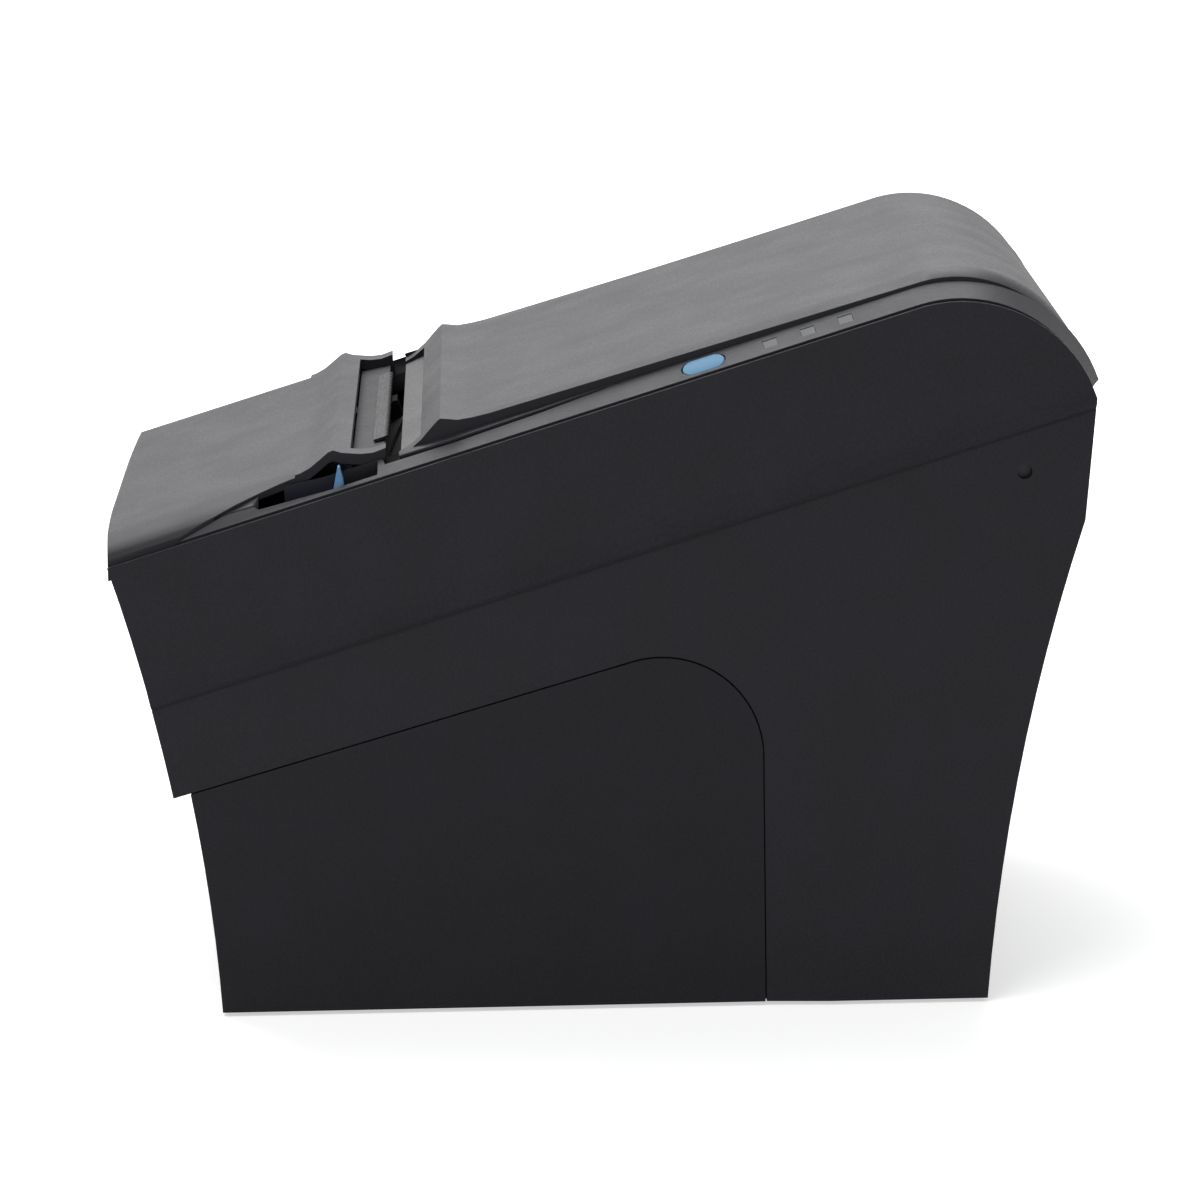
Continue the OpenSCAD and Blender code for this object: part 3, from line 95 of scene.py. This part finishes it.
# %% A helper that starts a finish
def new_finish(name, colour, roughness, metallic=0.0, specular=0.5):
    finish = bpy.data.materials.new(name)
    finish.use_nodes = True
    shader = finish.node_tree.nodes["Principled BSDF"]
    shader.inputs["Base Color"].default_value = (*colour, 1)
    shader.inputs["Roughness"].default_value = roughness
    shader.inputs["Metallic"].default_value = metallic
    shader.inputs["Specular IOR Level"].default_value = specular
    finish.diffuse_color = (*colour, 1)
    return finish, finish.node_tree, shader

# %% Helpers that grow a pattern
def object_space(tree, stretch=(1, 1, 1)):
    place = tree.nodes.new("ShaderNodeTexCoord")
    mapping = tree.nodes.new("ShaderNodeMapping")
    mapping.inputs["Scale"].default_value = stretch
    tree.links.new(place.outputs["Object"], mapping.inputs["Vector"])
    return mapping.outputs["Vector"]

def noise(tree, size_mm, detail=3.0, stretch=(1, 1, 1)):
    pattern = tree.nodes.new("ShaderNodeTexNoise")
    pattern.inputs["Scale"].default_value = 1 / (size_mm * MM)
    pattern.inputs["Detail"].default_value = detail
    tree.links.new(object_space(tree, stretch), pattern.inputs["Vector"])
    return pattern.outputs["Fac"]

def cells(tree, size_mm):
    pattern = tree.nodes.new("ShaderNodeTexVoronoi")
    pattern.inputs["Scale"].default_value = 1 / (size_mm * MM)
    tree.links.new(object_space(tree), pattern.inputs["Vector"])
    return pattern.outputs["Distance"]

def math_node(tree, operation, *values):
    """One Math node. Each value is a number or the output of another node."""
    node = tree.nodes.new("ShaderNodeMath")
    node.operation = operation
    for socket, value in zip(node.inputs, values):
        if isinstance(value, (int, float)):
            socket.default_value = value
        else:
            tree.links.new(value, socket)
    return node.outputs[0]

# %% Helpers that let a pattern drive the shader
def drive(tree, shader, socket, value, stops):
    """stops: (position, colour) pairs; a colour is a number or three numbers."""
    node = tree.nodes.new("ShaderNodeValToRGB")
    while len(node.color_ramp.elements) > len(stops):
        node.color_ramp.elements.remove(node.color_ramp.elements[-1])
    while len(node.color_ramp.elements) < len(stops):
        node.color_ramp.elements.new(1.0)
    for element, (position, colour) in zip(node.color_ramp.elements, stops):
        element.position = position
        rgb = colour if hasattr(colour, "__len__") else (colour,) * 3
        element.color = (*rgb, 1)
    tree.links.new(value, node.inputs["Fac"])
    tree.links.new(node.outputs["Color"], shader.inputs[socket])

def bump(tree, shader, height, depth_mm):
    node = tree.nodes.new("ShaderNodeBump")
    node.inputs["Distance"].default_value = depth_mm * MM
    tree.links.new(height, node.inputs["Height"])
    tree.links.new(node.outputs["Normal"], shader.inputs["Normal"])

def tint(colour, factor):
    return tuple(min(1.0, c * factor) for c in colour)

# %% [markdown]
# ### Moulded plastics
# The casing is one charcoal plastic from a spark-eroded mould. Such a surface is covered in
# tiny pits about half a millimetre across, which take the hard shine off it. Two noises make
# that: a coarse one for slow cloudy changes, a fine one for the pits.

# %% Plastics
CLOUD_MM = 14.0
PIT_SHARE, CLOUD_SHARE = 0.65, 0.35

def moulded(name, colour, roughness=0.5, pit_mm=0.55, depth_mm=0.02, specular=0.3, spread=0.22):
    finish, tree, shader = new_finish(name, colour, roughness, specular=specular)
    pits = noise(tree, pit_mm)
    cloud = noise(tree, CLOUD_MM, 2.0)
    scaled = math_node(tree, "MULTIPLY", cloud, CLOUD_SHARE)
    mixed = math_node(tree, "MULTIPLY_ADD", pits, PIT_SHARE, scaled)
    drive(tree, shader, "Base Color", mixed,
          [(0.38, tint(colour, 1 - spread)), (0.62, tint(colour, 1 + spread))])
    drive(tree, shader, "Roughness", mixed, [(0.35, roughness - 0.06), (0.65, roughness + 0.08)])
    bump(tree, shader, pits, depth_mm)
    return finish

charcoal = moulded("charcoal_casing", (0.017, 0.017, 0.0215), roughness=0.42, specular=0.15)
charcoal_base = moulded("charcoal_lower_case", (0.0145, 0.0145, 0.0185), roughness=0.44,
                        specular=0.14)
inner_black = moulded("inner_black_plastic", (0.014, 0.014, 0.016), roughness=0.42,
                      depth_mm=0.012)
guide_grey = moulded("paper_guide_plastic", (0.02, 0.02, 0.024), depth_mm=0.012, specular=0.12,
                     spread=0.12)
well_grey = moulded("well_plastic", (0.035, 0.036, 0.04), roughness=0.45)
print("plastics of the casing:", [finish.name for finish in bpy.data.materials][-5:])

# %% Small plastics and the print head's ceramic
button_blue = moulded("button_blue", (0.045, 0.2, 0.36), roughness=0.4, depth_mm=0.006,
                      specular=0.25, spread=0.06)
lever_blue = moulded("lever_blue", (0.12, 0.28, 0.5), roughness=0.4, depth_mm=0.008,
                     specular=0.45, spread=0.08)
acetal = moulded("gear_acetal", (0.74, 0.72, 0.66), roughness=0.4, depth_mm=0.006,
                 specular=0.45, spread=0.05)
black_parts = moulded("connector_black", (0.016, 0.016, 0.017), roughness=0.36, depth_mm=0.006,
                      specular=0.45)
window_grey = moulded("lamp_window", (0.09, 0.1, 0.098), roughness=0.42, depth_mm=0.004,
                      specular=0.2, spread=0.08)
ceramic = moulded("head_ceramic", (0.10, 0.065, 0.045), roughness=0.18, pit_mm=2.0,
                  depth_mm=0.002, specular=0.5)

# %% [markdown]
# ### Rubber, metal and circuit board
# Rolled and ground steel shows fine streaks along one direction, so its noise is stretched.
# Zinc plating shows soft grains. A circuit board is a green lacquer over raised copper lines.

# %% Rubber and metals
ALONG_X = (0.05, 1, 1)

def rubber(name, colour):
    finish, tree, shader = new_finish(name, colour, 0.75, specular=0.25)
    dust = noise(tree, 0.8, 4.0)
    drive(tree, shader, "Base Color", dust, [(0.4, tint(colour, 0.8)), (0.7, tint(colour, 1.35))])
    drive(tree, shader, "Roughness", dust, [(0.3, 0.68), (0.7, 0.85)])
    bump(tree, shader, dust, 0.03)
    return finish

def metal(name, colour, roughness, stretch=(1, 1, 1), grain_mm=0.25, depth_mm=0.004):
    finish, tree, shader = new_finish(name, colour, roughness, metallic=1.0)
    streaks = noise(tree, grain_mm, 3.0, stretch)
    drive(tree, shader, "Base Color", streaks,
          [(0.35, tint(colour, 0.82)), (0.65, tint(colour, 1.1))])
    drive(tree, shader, "Roughness", streaks, [(0.3, roughness - 0.07), (0.7, roughness + 0.1)])
    bump(tree, shader, streaks, depth_mm)
    return finish

def plated(name, colour, roughness):
    finish, tree, shader = new_finish(name, colour, roughness, metallic=1.0)
    grains = cells(tree, 3.5)
    drive(tree, shader, "Base Color", grains,
          [(0.1, tint(colour, 0.86)), (0.8, tint(colour, 1.08))])
    drive(tree, shader, "Roughness", grains, [(0.1, roughness - 0.05), (0.9, roughness + 0.1)])
    bump(tree, shader, noise(tree, 0.5), 0.004)
    return finish

soft_rubber = rubber("foot_and_roller_rubber", (0.019, 0.019, 0.019))
steel_across = metal("ground_steel_across", (0.56, 0.56, 0.57), 0.28, stretch=ALONG_X)
screw_steel = metal("screw_steel", (0.5, 0.5, 0.5), 0.3, grain_mm=0.5)
dark_steel = metal("blackened_steel", (0.03, 0.03, 0.032), 0.42)
tear_bar_steel = metal("tear_bar_steel", (0.035, 0.035, 0.037), 0.55, stretch=ALONG_X)
zinc_sheet = plated("zinc_plated_sheet", (0.52, 0.53, 0.55), 0.34)
cast_alloy = metal("cast_aluminium", (0.62, 0.62, 0.63), 0.45, grain_mm=0.9, depth_mm=0.03)
motor_can = metal("motor_can", (0.42, 0.43, 0.45), 0.32, grain_mm=0.7)
brass = metal("turned_brass", (0.72, 0.5, 0.2), 0.25)
shell_plate = metal("socket_shell", (0.6, 0.6, 0.61), 0.24, grain_mm=0.6)

# %% Circuit board
def circuit_board(name):
    lacquer = (0.012, 0.1, 0.035)
    finish, tree, shader = new_finish(name, lacquer, 0.35)
    tracks = tree.nodes.new("ShaderNodeTexBrick")
    tracks.inputs["Scale"].default_value = 90
    tracks.inputs["Mortar Size"].default_value = 0.06
    for socket, factor in (("Color1", 1), ("Color2", 0.85), ("Mortar", 2.2)):
        tracks.inputs[socket].default_value = (*tint(lacquer, factor), 1)
    tree.links.new(object_space(tree), tracks.inputs["Vector"])
    tree.links.new(tracks.outputs["Color"], shader.inputs["Base Color"])
    bump(tree, shader, tracks.outputs["Fac"], 0.03)
    return finish

board_green = circuit_board("circuit_board")
print("finishes made:", len(bpy.data.materials))

# %% [markdown]
# ### Which part gets which finish
# A part that stays as the solid model has it only gets its material slots filled.

# %% Finish every solid part
finish_of = [
    (charcoal, ["housing", "top_bezel", "front_cover", "paper_cover"]),
    (charcoal_base, ["base_case"]),
    (inner_black, ["cover_liner", "slot_panel", "blade_holder"]),
    (well_grey, ["paper_well"]),
    (guide_grey, ["mouth_plate"]),
    (soft_rubber, ["rubber_feet", "platen_roller"]),
    (dark_steel, ["hinge_pins", "cutter_frame", "cutter_blade"]),
    (tear_bar_steel, ["tear_bar"]),
    (steel_across, ["platen_shaft", "fixed_blade", "idler_post", "lever_pivot", "head_springs"]),
    (screw_steel, ["case_screws", "board_screws"]),
    (zinc_sheet, ["chassis", "spring_beam", "interface_panel"]),
    (cast_alloy, ["head_plate"]),
    (ceramic, ["thermal_head"]),
    (acetal, ["platen_gear", "idler_gear", "cutter_gear", "platen_bushes", "latch"]),
    (brass, ["motor_pinion", "cutter_pinion", "inlet_pins", "serial_pins"]),
    (motor_can, ["feed_motor", "cutter_motor"]),
    (lever_blue, ["open_lever"]),
    (button_blue, ["feed_button"]),
    (window_grey, ["lamp_lenses"]),
    (board_green, ["panel_board", "main_board"]),
    (black_parts, ["board_parts", "paper_sensor", "power_inlet", "drawer_port", "switch_body",
                   "power_rocker"]),
    (shell_plate, ["usb_port", "serial_port"]),
]
for finish, names in finish_of:
    for name in names:
        mesh = nodes[name].data
        mesh.materials.clear()
        mesh.materials.append(finish)
left_out = sorted(set(nodes) - {name for _, names in finish_of for name in names})
print("parts without a finish:", left_out)

# %% [markdown]
# ## Rounded mouldings
# No moulded edge is truly sharp: a small radius catches a thin line of light, and that line is
# what makes plastic look real. The solid parts have sharp edges, so the outer mouldings get
# an edited copy with a bevel. The copy's loose triangles are merged into whole faces first,
# because a bevel needs the real edges of the shape and nothing else. The bevel's overlap
# clamp keeps it from folding over itself, but it narrows every bevel of a piece to what the
# piece's tightest corner allows, which on the casing leaves only a hairline.

# %% Helpers for editing one piece at a time
SMOOTH_BELOW = math.radians(32)
SAME_POINT_MM = 0.004
SAME_PLANE = math.radians(0.5)

def make_active(piece):
    bpy.ops.object.select_all(action="DESELECT")
    piece.select_set(True)
    bpy.context.view_layer.objects.active = piece

def edit_only(piece):
    make_active(piece)
    bpy.ops.object.mode_set(mode="EDIT")

def leave_edit():
    bpy.ops.object.mode_set(mode="OBJECT")

def cut(piece, place, facing):
    """Cut a whole piece along a plane, without taking anything away."""
    edit_only(piece)
    bpy.ops.mesh.select_all(action="SELECT")
    bpy.ops.mesh.bisect(plane_co=place, plane_no=facing)
    leave_edit()

# %% Helpers that start, round and finish a piece
def whole_faces(node, name):
    """A copy of a solid part with its triangles joined into whole faces."""
    piece = bpy.data.objects.new(name, nodes[node].data.copy())
    bpy.context.scene.collection.objects.link(piece)
    edit_only(piece)
    bpy.ops.mesh.select_mode(type="VERT")
    bpy.ops.mesh.select_all(action="SELECT")
    bpy.ops.mesh.remove_doubles(threshold=SAME_POINT_MM * MM)
    bpy.ops.mesh.dissolve_limited(angle_limit=SAME_PLANE)
    leave_edit()
    return piece

def apply_modifier(piece, kind, **settings):
    make_active(piece)
    modifier = piece.modifiers.new(kind.lower(), kind)
    for key, value in settings.items():
        setattr(modifier, key, value)
    bpy.ops.object.modifier_apply(modifier=modifier.name)

def round_edges(piece, width_mm, segments=2):
    apply_modifier(piece, "BEVEL", width=width_mm * MM, segments=segments, limit_method="ANGLE",
                   angle_limit=math.radians(38), miter_outer="MITER_ARC",
                   use_clamp_overlap=True)

def span(piece):
    """The lowest and the highest corner of a piece."""
    points = [vertex.co for vertex in piece.data.vertices]
    return [[pick(p[i] for p in points) for i in range(3)] for pick in (min, max)]

def finish_piece(piece, node):
    make_active(piece)
    bpy.ops.object.shade_smooth_by_angle(angle=SMOOTH_BELOW)
    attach(piece, nodes[node]["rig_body"])
    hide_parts(node)
    size = [round((high - low) / MM, 1) for low, high in zip(*span(piece))]
    print(piece.name, "faces:", len(piece.data.polygons), "size mm:", size)

# %% The slope that the whole top follows
SLOPE = math.radians(16.9)
uphill = Vector((0, math.cos(SLOPE), math.sin(SLOPE)))
off_top = Vector((0, -math.sin(SLOPE), math.cos(SLOPE)))
shoulder_start = Vector((0, 0, 0.1201))
hump_centre = Vector((0, 0.071, 0.1124))

def height_over_shoulder(point):
    return (point - shoulder_start).dot(off_top) / MM

def outward(point):
    """The direction off the top at a point: straight on the slope, radial on the hump."""
    flat = Vector((0, point.y, point.z)) - hump_centre
    return off_top if flat.dot(uphill) < 0 else flat.normalized()

# %% [markdown]
# ### The lid
# The lid's broad top is flat, but its long side edges fall away in a gentle roll, so that only
# a thin dark line of its side shows over the strips. A bevel would make a round corner of one
# radius. Here the skin is cut along a few lines with bisect, and each line is then lowered a
# little more than the one before it. Towards the paper slot the roll fades out.

# %% Roll the lid's sides
lid_half = 63
roll_width = 6
roll_drop = 1.4
roll_cuts = (57, 59, 60.6, 61.8, 62.6)
roll_starts, roll_full = -22, 22

def ease(value, start, end):
    t = min(1.0, max(0.0, (value - start) / (end - start)))
    return t * t * (3 - 2 * t)

def roll_sides(piece):
    for x in roll_cuts:
        cut(piece, (x * MM, 0, 0), (1, 0, 0))
        cut(piece, (-x * MM, 0, 0), (1, 0, 0))
    outer = set()
    for face in piece.data.polygons:
        if abs(face.normal.x) < 0.3 and face.normal.dot(outward(face.center)) > 0.9:
            outer.update(face.vertices)
    lowered = 0
    for index in outer:
        spot = piece.data.vertices[index].co
        side = (abs(spot.x) / MM - (lid_half - roll_width)) / roll_width
        if side > 0:
            fade = ease(spot.y / MM, roll_starts, roll_full)
            spot -= outward(spot) * roll_drop * MM * side * side * fade
            lowered += 1
    print(piece.name, "points lowered:", lowered)

# %% [markdown]
# ### The strips
# A strip runs down each side of the top, with the button and the lamps in the right one. Each
# rises a little more to its outer edge than the solid does, and beside the front hood it
# follows the hood's rolled side. The strip is cut straight across between its holes first, so
# that what is lifted at the hood doesn't bend the long face behind it. The straight and the
# bent length of a strip are one moulding, so the joint between the two solids is welded.

# %% Weld the strips
joint_from, joint_to = 63.4, 64.3
joint_merge = 0.07

def pick_faces(piece, wanted):
    edit_only(piece)
    bpy.ops.mesh.select_mode(type="FACE")
    bpy.ops.mesh.select_all(action="DESELECT")
    leave_edit()
    picked = 0
    for face in piece.data.polygons:
        face.select = bool(wanted(face))
        picked += face.select
    bpy.ops.object.mode_set(mode="EDIT")
    return picked

def at_joint(face):
    return (abs(face.normal.dot(uphill)) > 0.999 and len(face.vertices) > 6
            and joint_from < face.center.y / MM < joint_to)

def weld_joint(piece):
    joints = pick_faces(piece, at_joint)
    bpy.ops.mesh.delete(type="FACE")
    bpy.ops.mesh.select_all(action="SELECT")
    bpy.ops.mesh.remove_doubles(threshold=joint_merge * MM)
    leave_edit()
    print(piece.name, "joint faces removed:", joints)

# %% Lift the strips
strip_edge = 70.2
strip_inner = 63.4
edge_lift = 0.5
strip_cuts = (-54, -36, -10, 14, 31, 40.2, 47.9, 56)
hood_end = -60.5
hood_rise = 5.12
hood_roll = 13
hood_step = 0.7

def top_points(piece):
    top = set()
    for face in piece.data.polygons:
        if face.normal.dot(outward(face.center)) > 0.8:
            top.update(face.vertices)
    return [piece.data.vertices[i].co for i in sorted(top)]

def hood_side(x):
    """How high the hood's rolled side stands over the shoulder, at x from the middle."""
    across = 1 - (strip_edge - x) / hood_roll
    return hood_rise * math.sqrt(max(0.0, 1 - across ** 2))

def lift_strips(piece):
    for run in strip_cuts:
        cut(piece, shoulder_start + uphill * run * MM, uphill)
    points = top_points(piece)
    for spot in points:
        x = abs(spot.x) / MM
        lift = edge_lift * min(1.0, max(0.0, (x - strip_inner) / (strip_edge - strip_inner)))
        if spot.y / MM < hood_end and x < strip_edge - 0.2:
            lift = max(lift, hood_side(x) - hood_step - height_over_shoulder(spot))
        spot += outward(spot) * lift * MM
    print(piece.name, "points moved:", len(points))

def lift_hood_sides(piece):
    """The foot of the hood's rolled side rises with the strip's edge, which it meets."""
    points = [spot for spot in top_points(piece) if abs(abs(spot.x) / MM - strip_edge) < 0.05]
    for spot in points:
        spot += off_top * edge_lift * MM
    print(piece.name, "points moved:", len(points))

# %% [markdown]
# ### The crease
# The upper band of the casing stands a little proud of the side below it, and the step shows
# as one thin dark line. A step alone stays faint in soft light, so the copy gets a fine groove
# under it: three cuts along the crease, and the middle one is pushed into the wall. It comes
# after the bevel, whose clamp would otherwise shrink every bevel of the casing to the groove.

# %% Groove under the crease
crease_top, crease_deep, crease_foot = -29.2, -29.35, -29.8
crease_depth = 0.6

def groove_crease(piece):
    for height in (crease_top, crease_deep, crease_foot):
        cut(piece, shoulder_start + off_top * height * MM, off_top)
    side = span(piece)[1][0] / MM
    pushed = 0
    for vertex in piece.data.vertices:
        spot = vertex.co
        at_middle = abs(height_over_shoulder(spot) - crease_deep) < 0.03
        if at_middle and abs(spot.x) / MM > side - 0.8:
            spot.x -= math.copysign(crease_depth * MM, spot.x)
            pushed += 1
    print(piece.name, "crease points pushed in:", pushed)

# %% [markdown]
# ### All five together
# Each copy is reshaped while it still has few faces, then bevelled, then shaded. The strips'
# holes leave corners too tight for any bevel, so that piece keeps its sharp edges. Weighted
# normals let the big faces decide the shading, so a flat wall next to a bevel looks flat.

# %% The five outer mouldings
def reshape_trim(piece):
    weld_joint(piece)
    lift_strips(piece)

reshape = {"lid": roll_sides, "trim": reshape_trim, "hood": lift_hood_sides}
bevel_mm = {"casing": 0.2, "lower_shell": 0.4, "hood": 0.5, "lid": 0.35}

for node, name in (("housing", "casing"), ("base_case", "lower_shell"), ("front_cover", "hood"),
                   ("paper_cover", "lid"), ("top_bezel", "trim")):
    piece = whole_faces(node, name)
    if name in reshape:
        reshape[name](piece)
    if name in bevel_mm:
        round_edges(piece, bevel_mm[name])
    if name == "casing":
        groove_crease(piece)
    finish_piece(piece, node)
    apply_modifier(piece, "WEIGHTED_NORMAL", weight=90, keep_sharp=True)

# %% [markdown]
# ### The finger lips
# Along the front half of each side the lid carries a narrow lip that a finger pulls up. Each
# starts as a bar, is cut across a few times, and its outer row is then pulled to the plan of
# the scoop in the strip, with a gap of about half a millimetre. They move with the lid.

# %% Finger lips of the lid
lip_plan = [(-39.5, 65.2), (-34, 65.4), (-28, 65.4), (-19, 65.0), (-10, 64.6), (-4, 64.1),
            (1.5, 63.7), (5, 63.3)]
lip_root = lid_half - 0.3
lip_height = 3.1
lip_fall = 0.2
lip_thickness = 0.8

def lip_reach(run):
    return min(lip_plan, key=lambda row: abs(row[0] - run))[1]

def finger_lip(side, name):
    start, end = lip_plan[0][0], lip_plan[-1][0]
    bpy.ops.object.select_all(action="DESELECT")
    bpy.ops.mesh.primitive_cube_add(size=1, location=(0, 0, 0))
    lip = bpy.context.object
    lip.name = name
    for run, _ in lip_plan[1:-1]:
        cut(lip, (0, (run - start) / (end - start) - 0.5, 0), (0, 1, 0))
    for vertex in lip.data.vertices:
        run = start + (vertex.co.y + 0.5) * (end - start)
        reach = lip_reach(run) if vertex.co.x > 0 else lip_root
        top = lip_height - lip_fall * (reach - lid_half)
        height = top if vertex.co.z > 0 else top - lip_thickness
        vertex.co = (shoulder_start + uphill * run * MM + off_top * height * MM
                     + Vector((side * reach * MM, 0, 0)))
    edit_only(lip)
    bpy.ops.mesh.select_all(action="SELECT")
    bpy.ops.mesh.normals_make_consistent(inside=False)
    leave_edit()
    round_edges(lip, 0.25)
    bpy.ops.object.shade_smooth_by_angle(angle=SMOOTH_BELOW)
    lip.data.materials.append(charcoal)
    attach(lip, nodes["paper_cover"]["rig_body"])
    print(name, "faces:", len(lip.data.polygons))

finger_lip(1, "finger_lip_right")
finger_lip(-1, "finger_lip_left")

# %% [markdown]
# ### Lever and button
# The lever's fin ends in a narrow tip, and the button has a softly rounded cap. Both start as
# copies of their solids; the tip is squeezed and raised, the cap's edge gets a wide bevel.

# %% Lever and button
tip_from = 0.1085
tip_squeeze = 0.45
tip_rise = 0.8

lever = whole_faces("open_lever", "cover_lever")
tip = [vertex.co for vertex in lever.data.vertices if vertex.co.z > tip_from]
tip_middle = sum(spot.y for spot in tip) / len(tip)
for spot in tip:
    spot.y = tip_middle + (spot.y - tip_middle) * tip_squeeze
    spot.z += tip_rise * MM
print("lever tip points:", len(tip))
round_edges(lever, 0.25)
finish_piece(lever, "open_lever")

button = whole_faces("feed_button", "button_cap")
round_edges(button, 0.6, segments=3)
finish_piece(button, "feed_button")

# %% [markdown]
# ## Floor, backdrop and light
# A pale floor meets a white world. The lamps stay at a plain level; the white comes from the
# world as the camera and the glossy rays see it. The flat top is seen at a low angle, so what
# lights it up is the white room behind the printer, mirrored softly in the plastic.

# %% Floor
FLOOR_SIZE = 6
near_glow, far_glow = 0.55, 1.0
glow_from, glow_to = 0.2, 0.9

bpy.ops.object.select_all(action="DESELECT")
bpy.ops.mesh.primitive_plane_add(size=FLOOR_SIZE, location=(0, 0, 0))
floor = bpy.context.object
floor.name = "floor"
floor_finish, floor_tree, floor_shader = new_finish("pale_floor", (0.86, 0.86, 0.86), 0.9,
                                                    specular=0.1)
floor_path = floor_tree.nodes.new("ShaderNodeLightPath")
floor_seen = math_node(floor_tree, "MAXIMUM", floor_path.outputs["Is Camera Ray"],
                       floor_path.outputs["Is Glossy Ray"])
floor_place = floor_tree.nodes.new("ShaderNodeTexCoord")
floor_far = floor_tree.nodes.new("ShaderNodeVectorMath")
floor_far.operation = "LENGTH"
floor_tree.links.new(floor_place.outputs["Object"], floor_far.inputs[0])
floor_glow = floor_tree.nodes.new("ShaderNodeMapRange")
for socket, value in (("From Min", glow_from), ("From Max", glow_to), ("To Min", near_glow),
                      ("To Max", far_glow)):
    floor_glow.inputs[socket].default_value = value
floor_tree.links.new(floor_far.outputs["Value"], floor_glow.inputs["Value"])
floor_lift = math_node(floor_tree, "MULTIPLY", floor_seen, floor_glow.outputs["Result"])
floor_shader.inputs["Emission Color"].default_value = (1, 1, 1, 1)
floor_tree.links.new(floor_lift, floor_shader.inputs["Emission Strength"])
floor.data.materials.append(floor_finish)

# %% World
world = bpy.data.worlds.new("white_room")
bpy.context.scene.world = world
world.use_nodes = True
room = world.node_tree
room.nodes.clear()

def background(colour, strength):
    node = room.nodes.new("ShaderNodeBackground")
    node.inputs["Color"].default_value = (*colour, 1)
    node.inputs["Strength"].default_value = strength
    return node.outputs[0]

room_seen = background((1, 1, 1), 1.0)
room_fill = background((0.96, 0.98, 1), 0.25)
path = room.nodes.new("ShaderNodeLightPath")
glossy_or_glass = math_node(room, "MAXIMUM", path.outputs["Is Glossy Ray"],
                            path.outputs["Is Transmission Ray"])
shows_white = math_node(room, "MAXIMUM", path.outputs["Is Camera Ray"], glossy_or_glass)
mix = room.nodes.new("ShaderNodeMixShader")
for socket, value in zip(mix.inputs, (shows_white, room_fill, room_seen)):
    room.links.new(value, socket)
room_out = room.nodes.new("ShaderNodeOutputWorld")
room.links.new(mix.outputs[0], room_out.inputs["Surface"])

# %% Lamps
def soft_lamp(name, place, aim, width, height, power):
    bpy.ops.object.light_add(type="AREA", location=place)
    lamp = bpy.context.object
    lamp.name = name
    lamp.data.shape = "RECTANGLE"
    lamp.data.size = width
    lamp.data.size_y = height
    lamp.data.energy = power
    lamp.rotation_euler = (Vector(aim) - Vector(place)).to_track_quat("-Z", "Y").to_euler()

soft_lamp("back_lamp", (-1.1, 0.05, 0.6), (0, 0, 0.1), 2.6, 0.7, 1.8)
soft_lamp("top_lamp", (-0.62, -0.15, 1.0), (0, 0, 0.1), 1.1, 0.9, 12)
soft_lamp("side_lamp", (0.5, -0.25, 1.15), (0, 0, 0.08), 0.6, 0.4, 5)
print("lamps ready")

# %% The last line
bpy.context.view_layer.update()
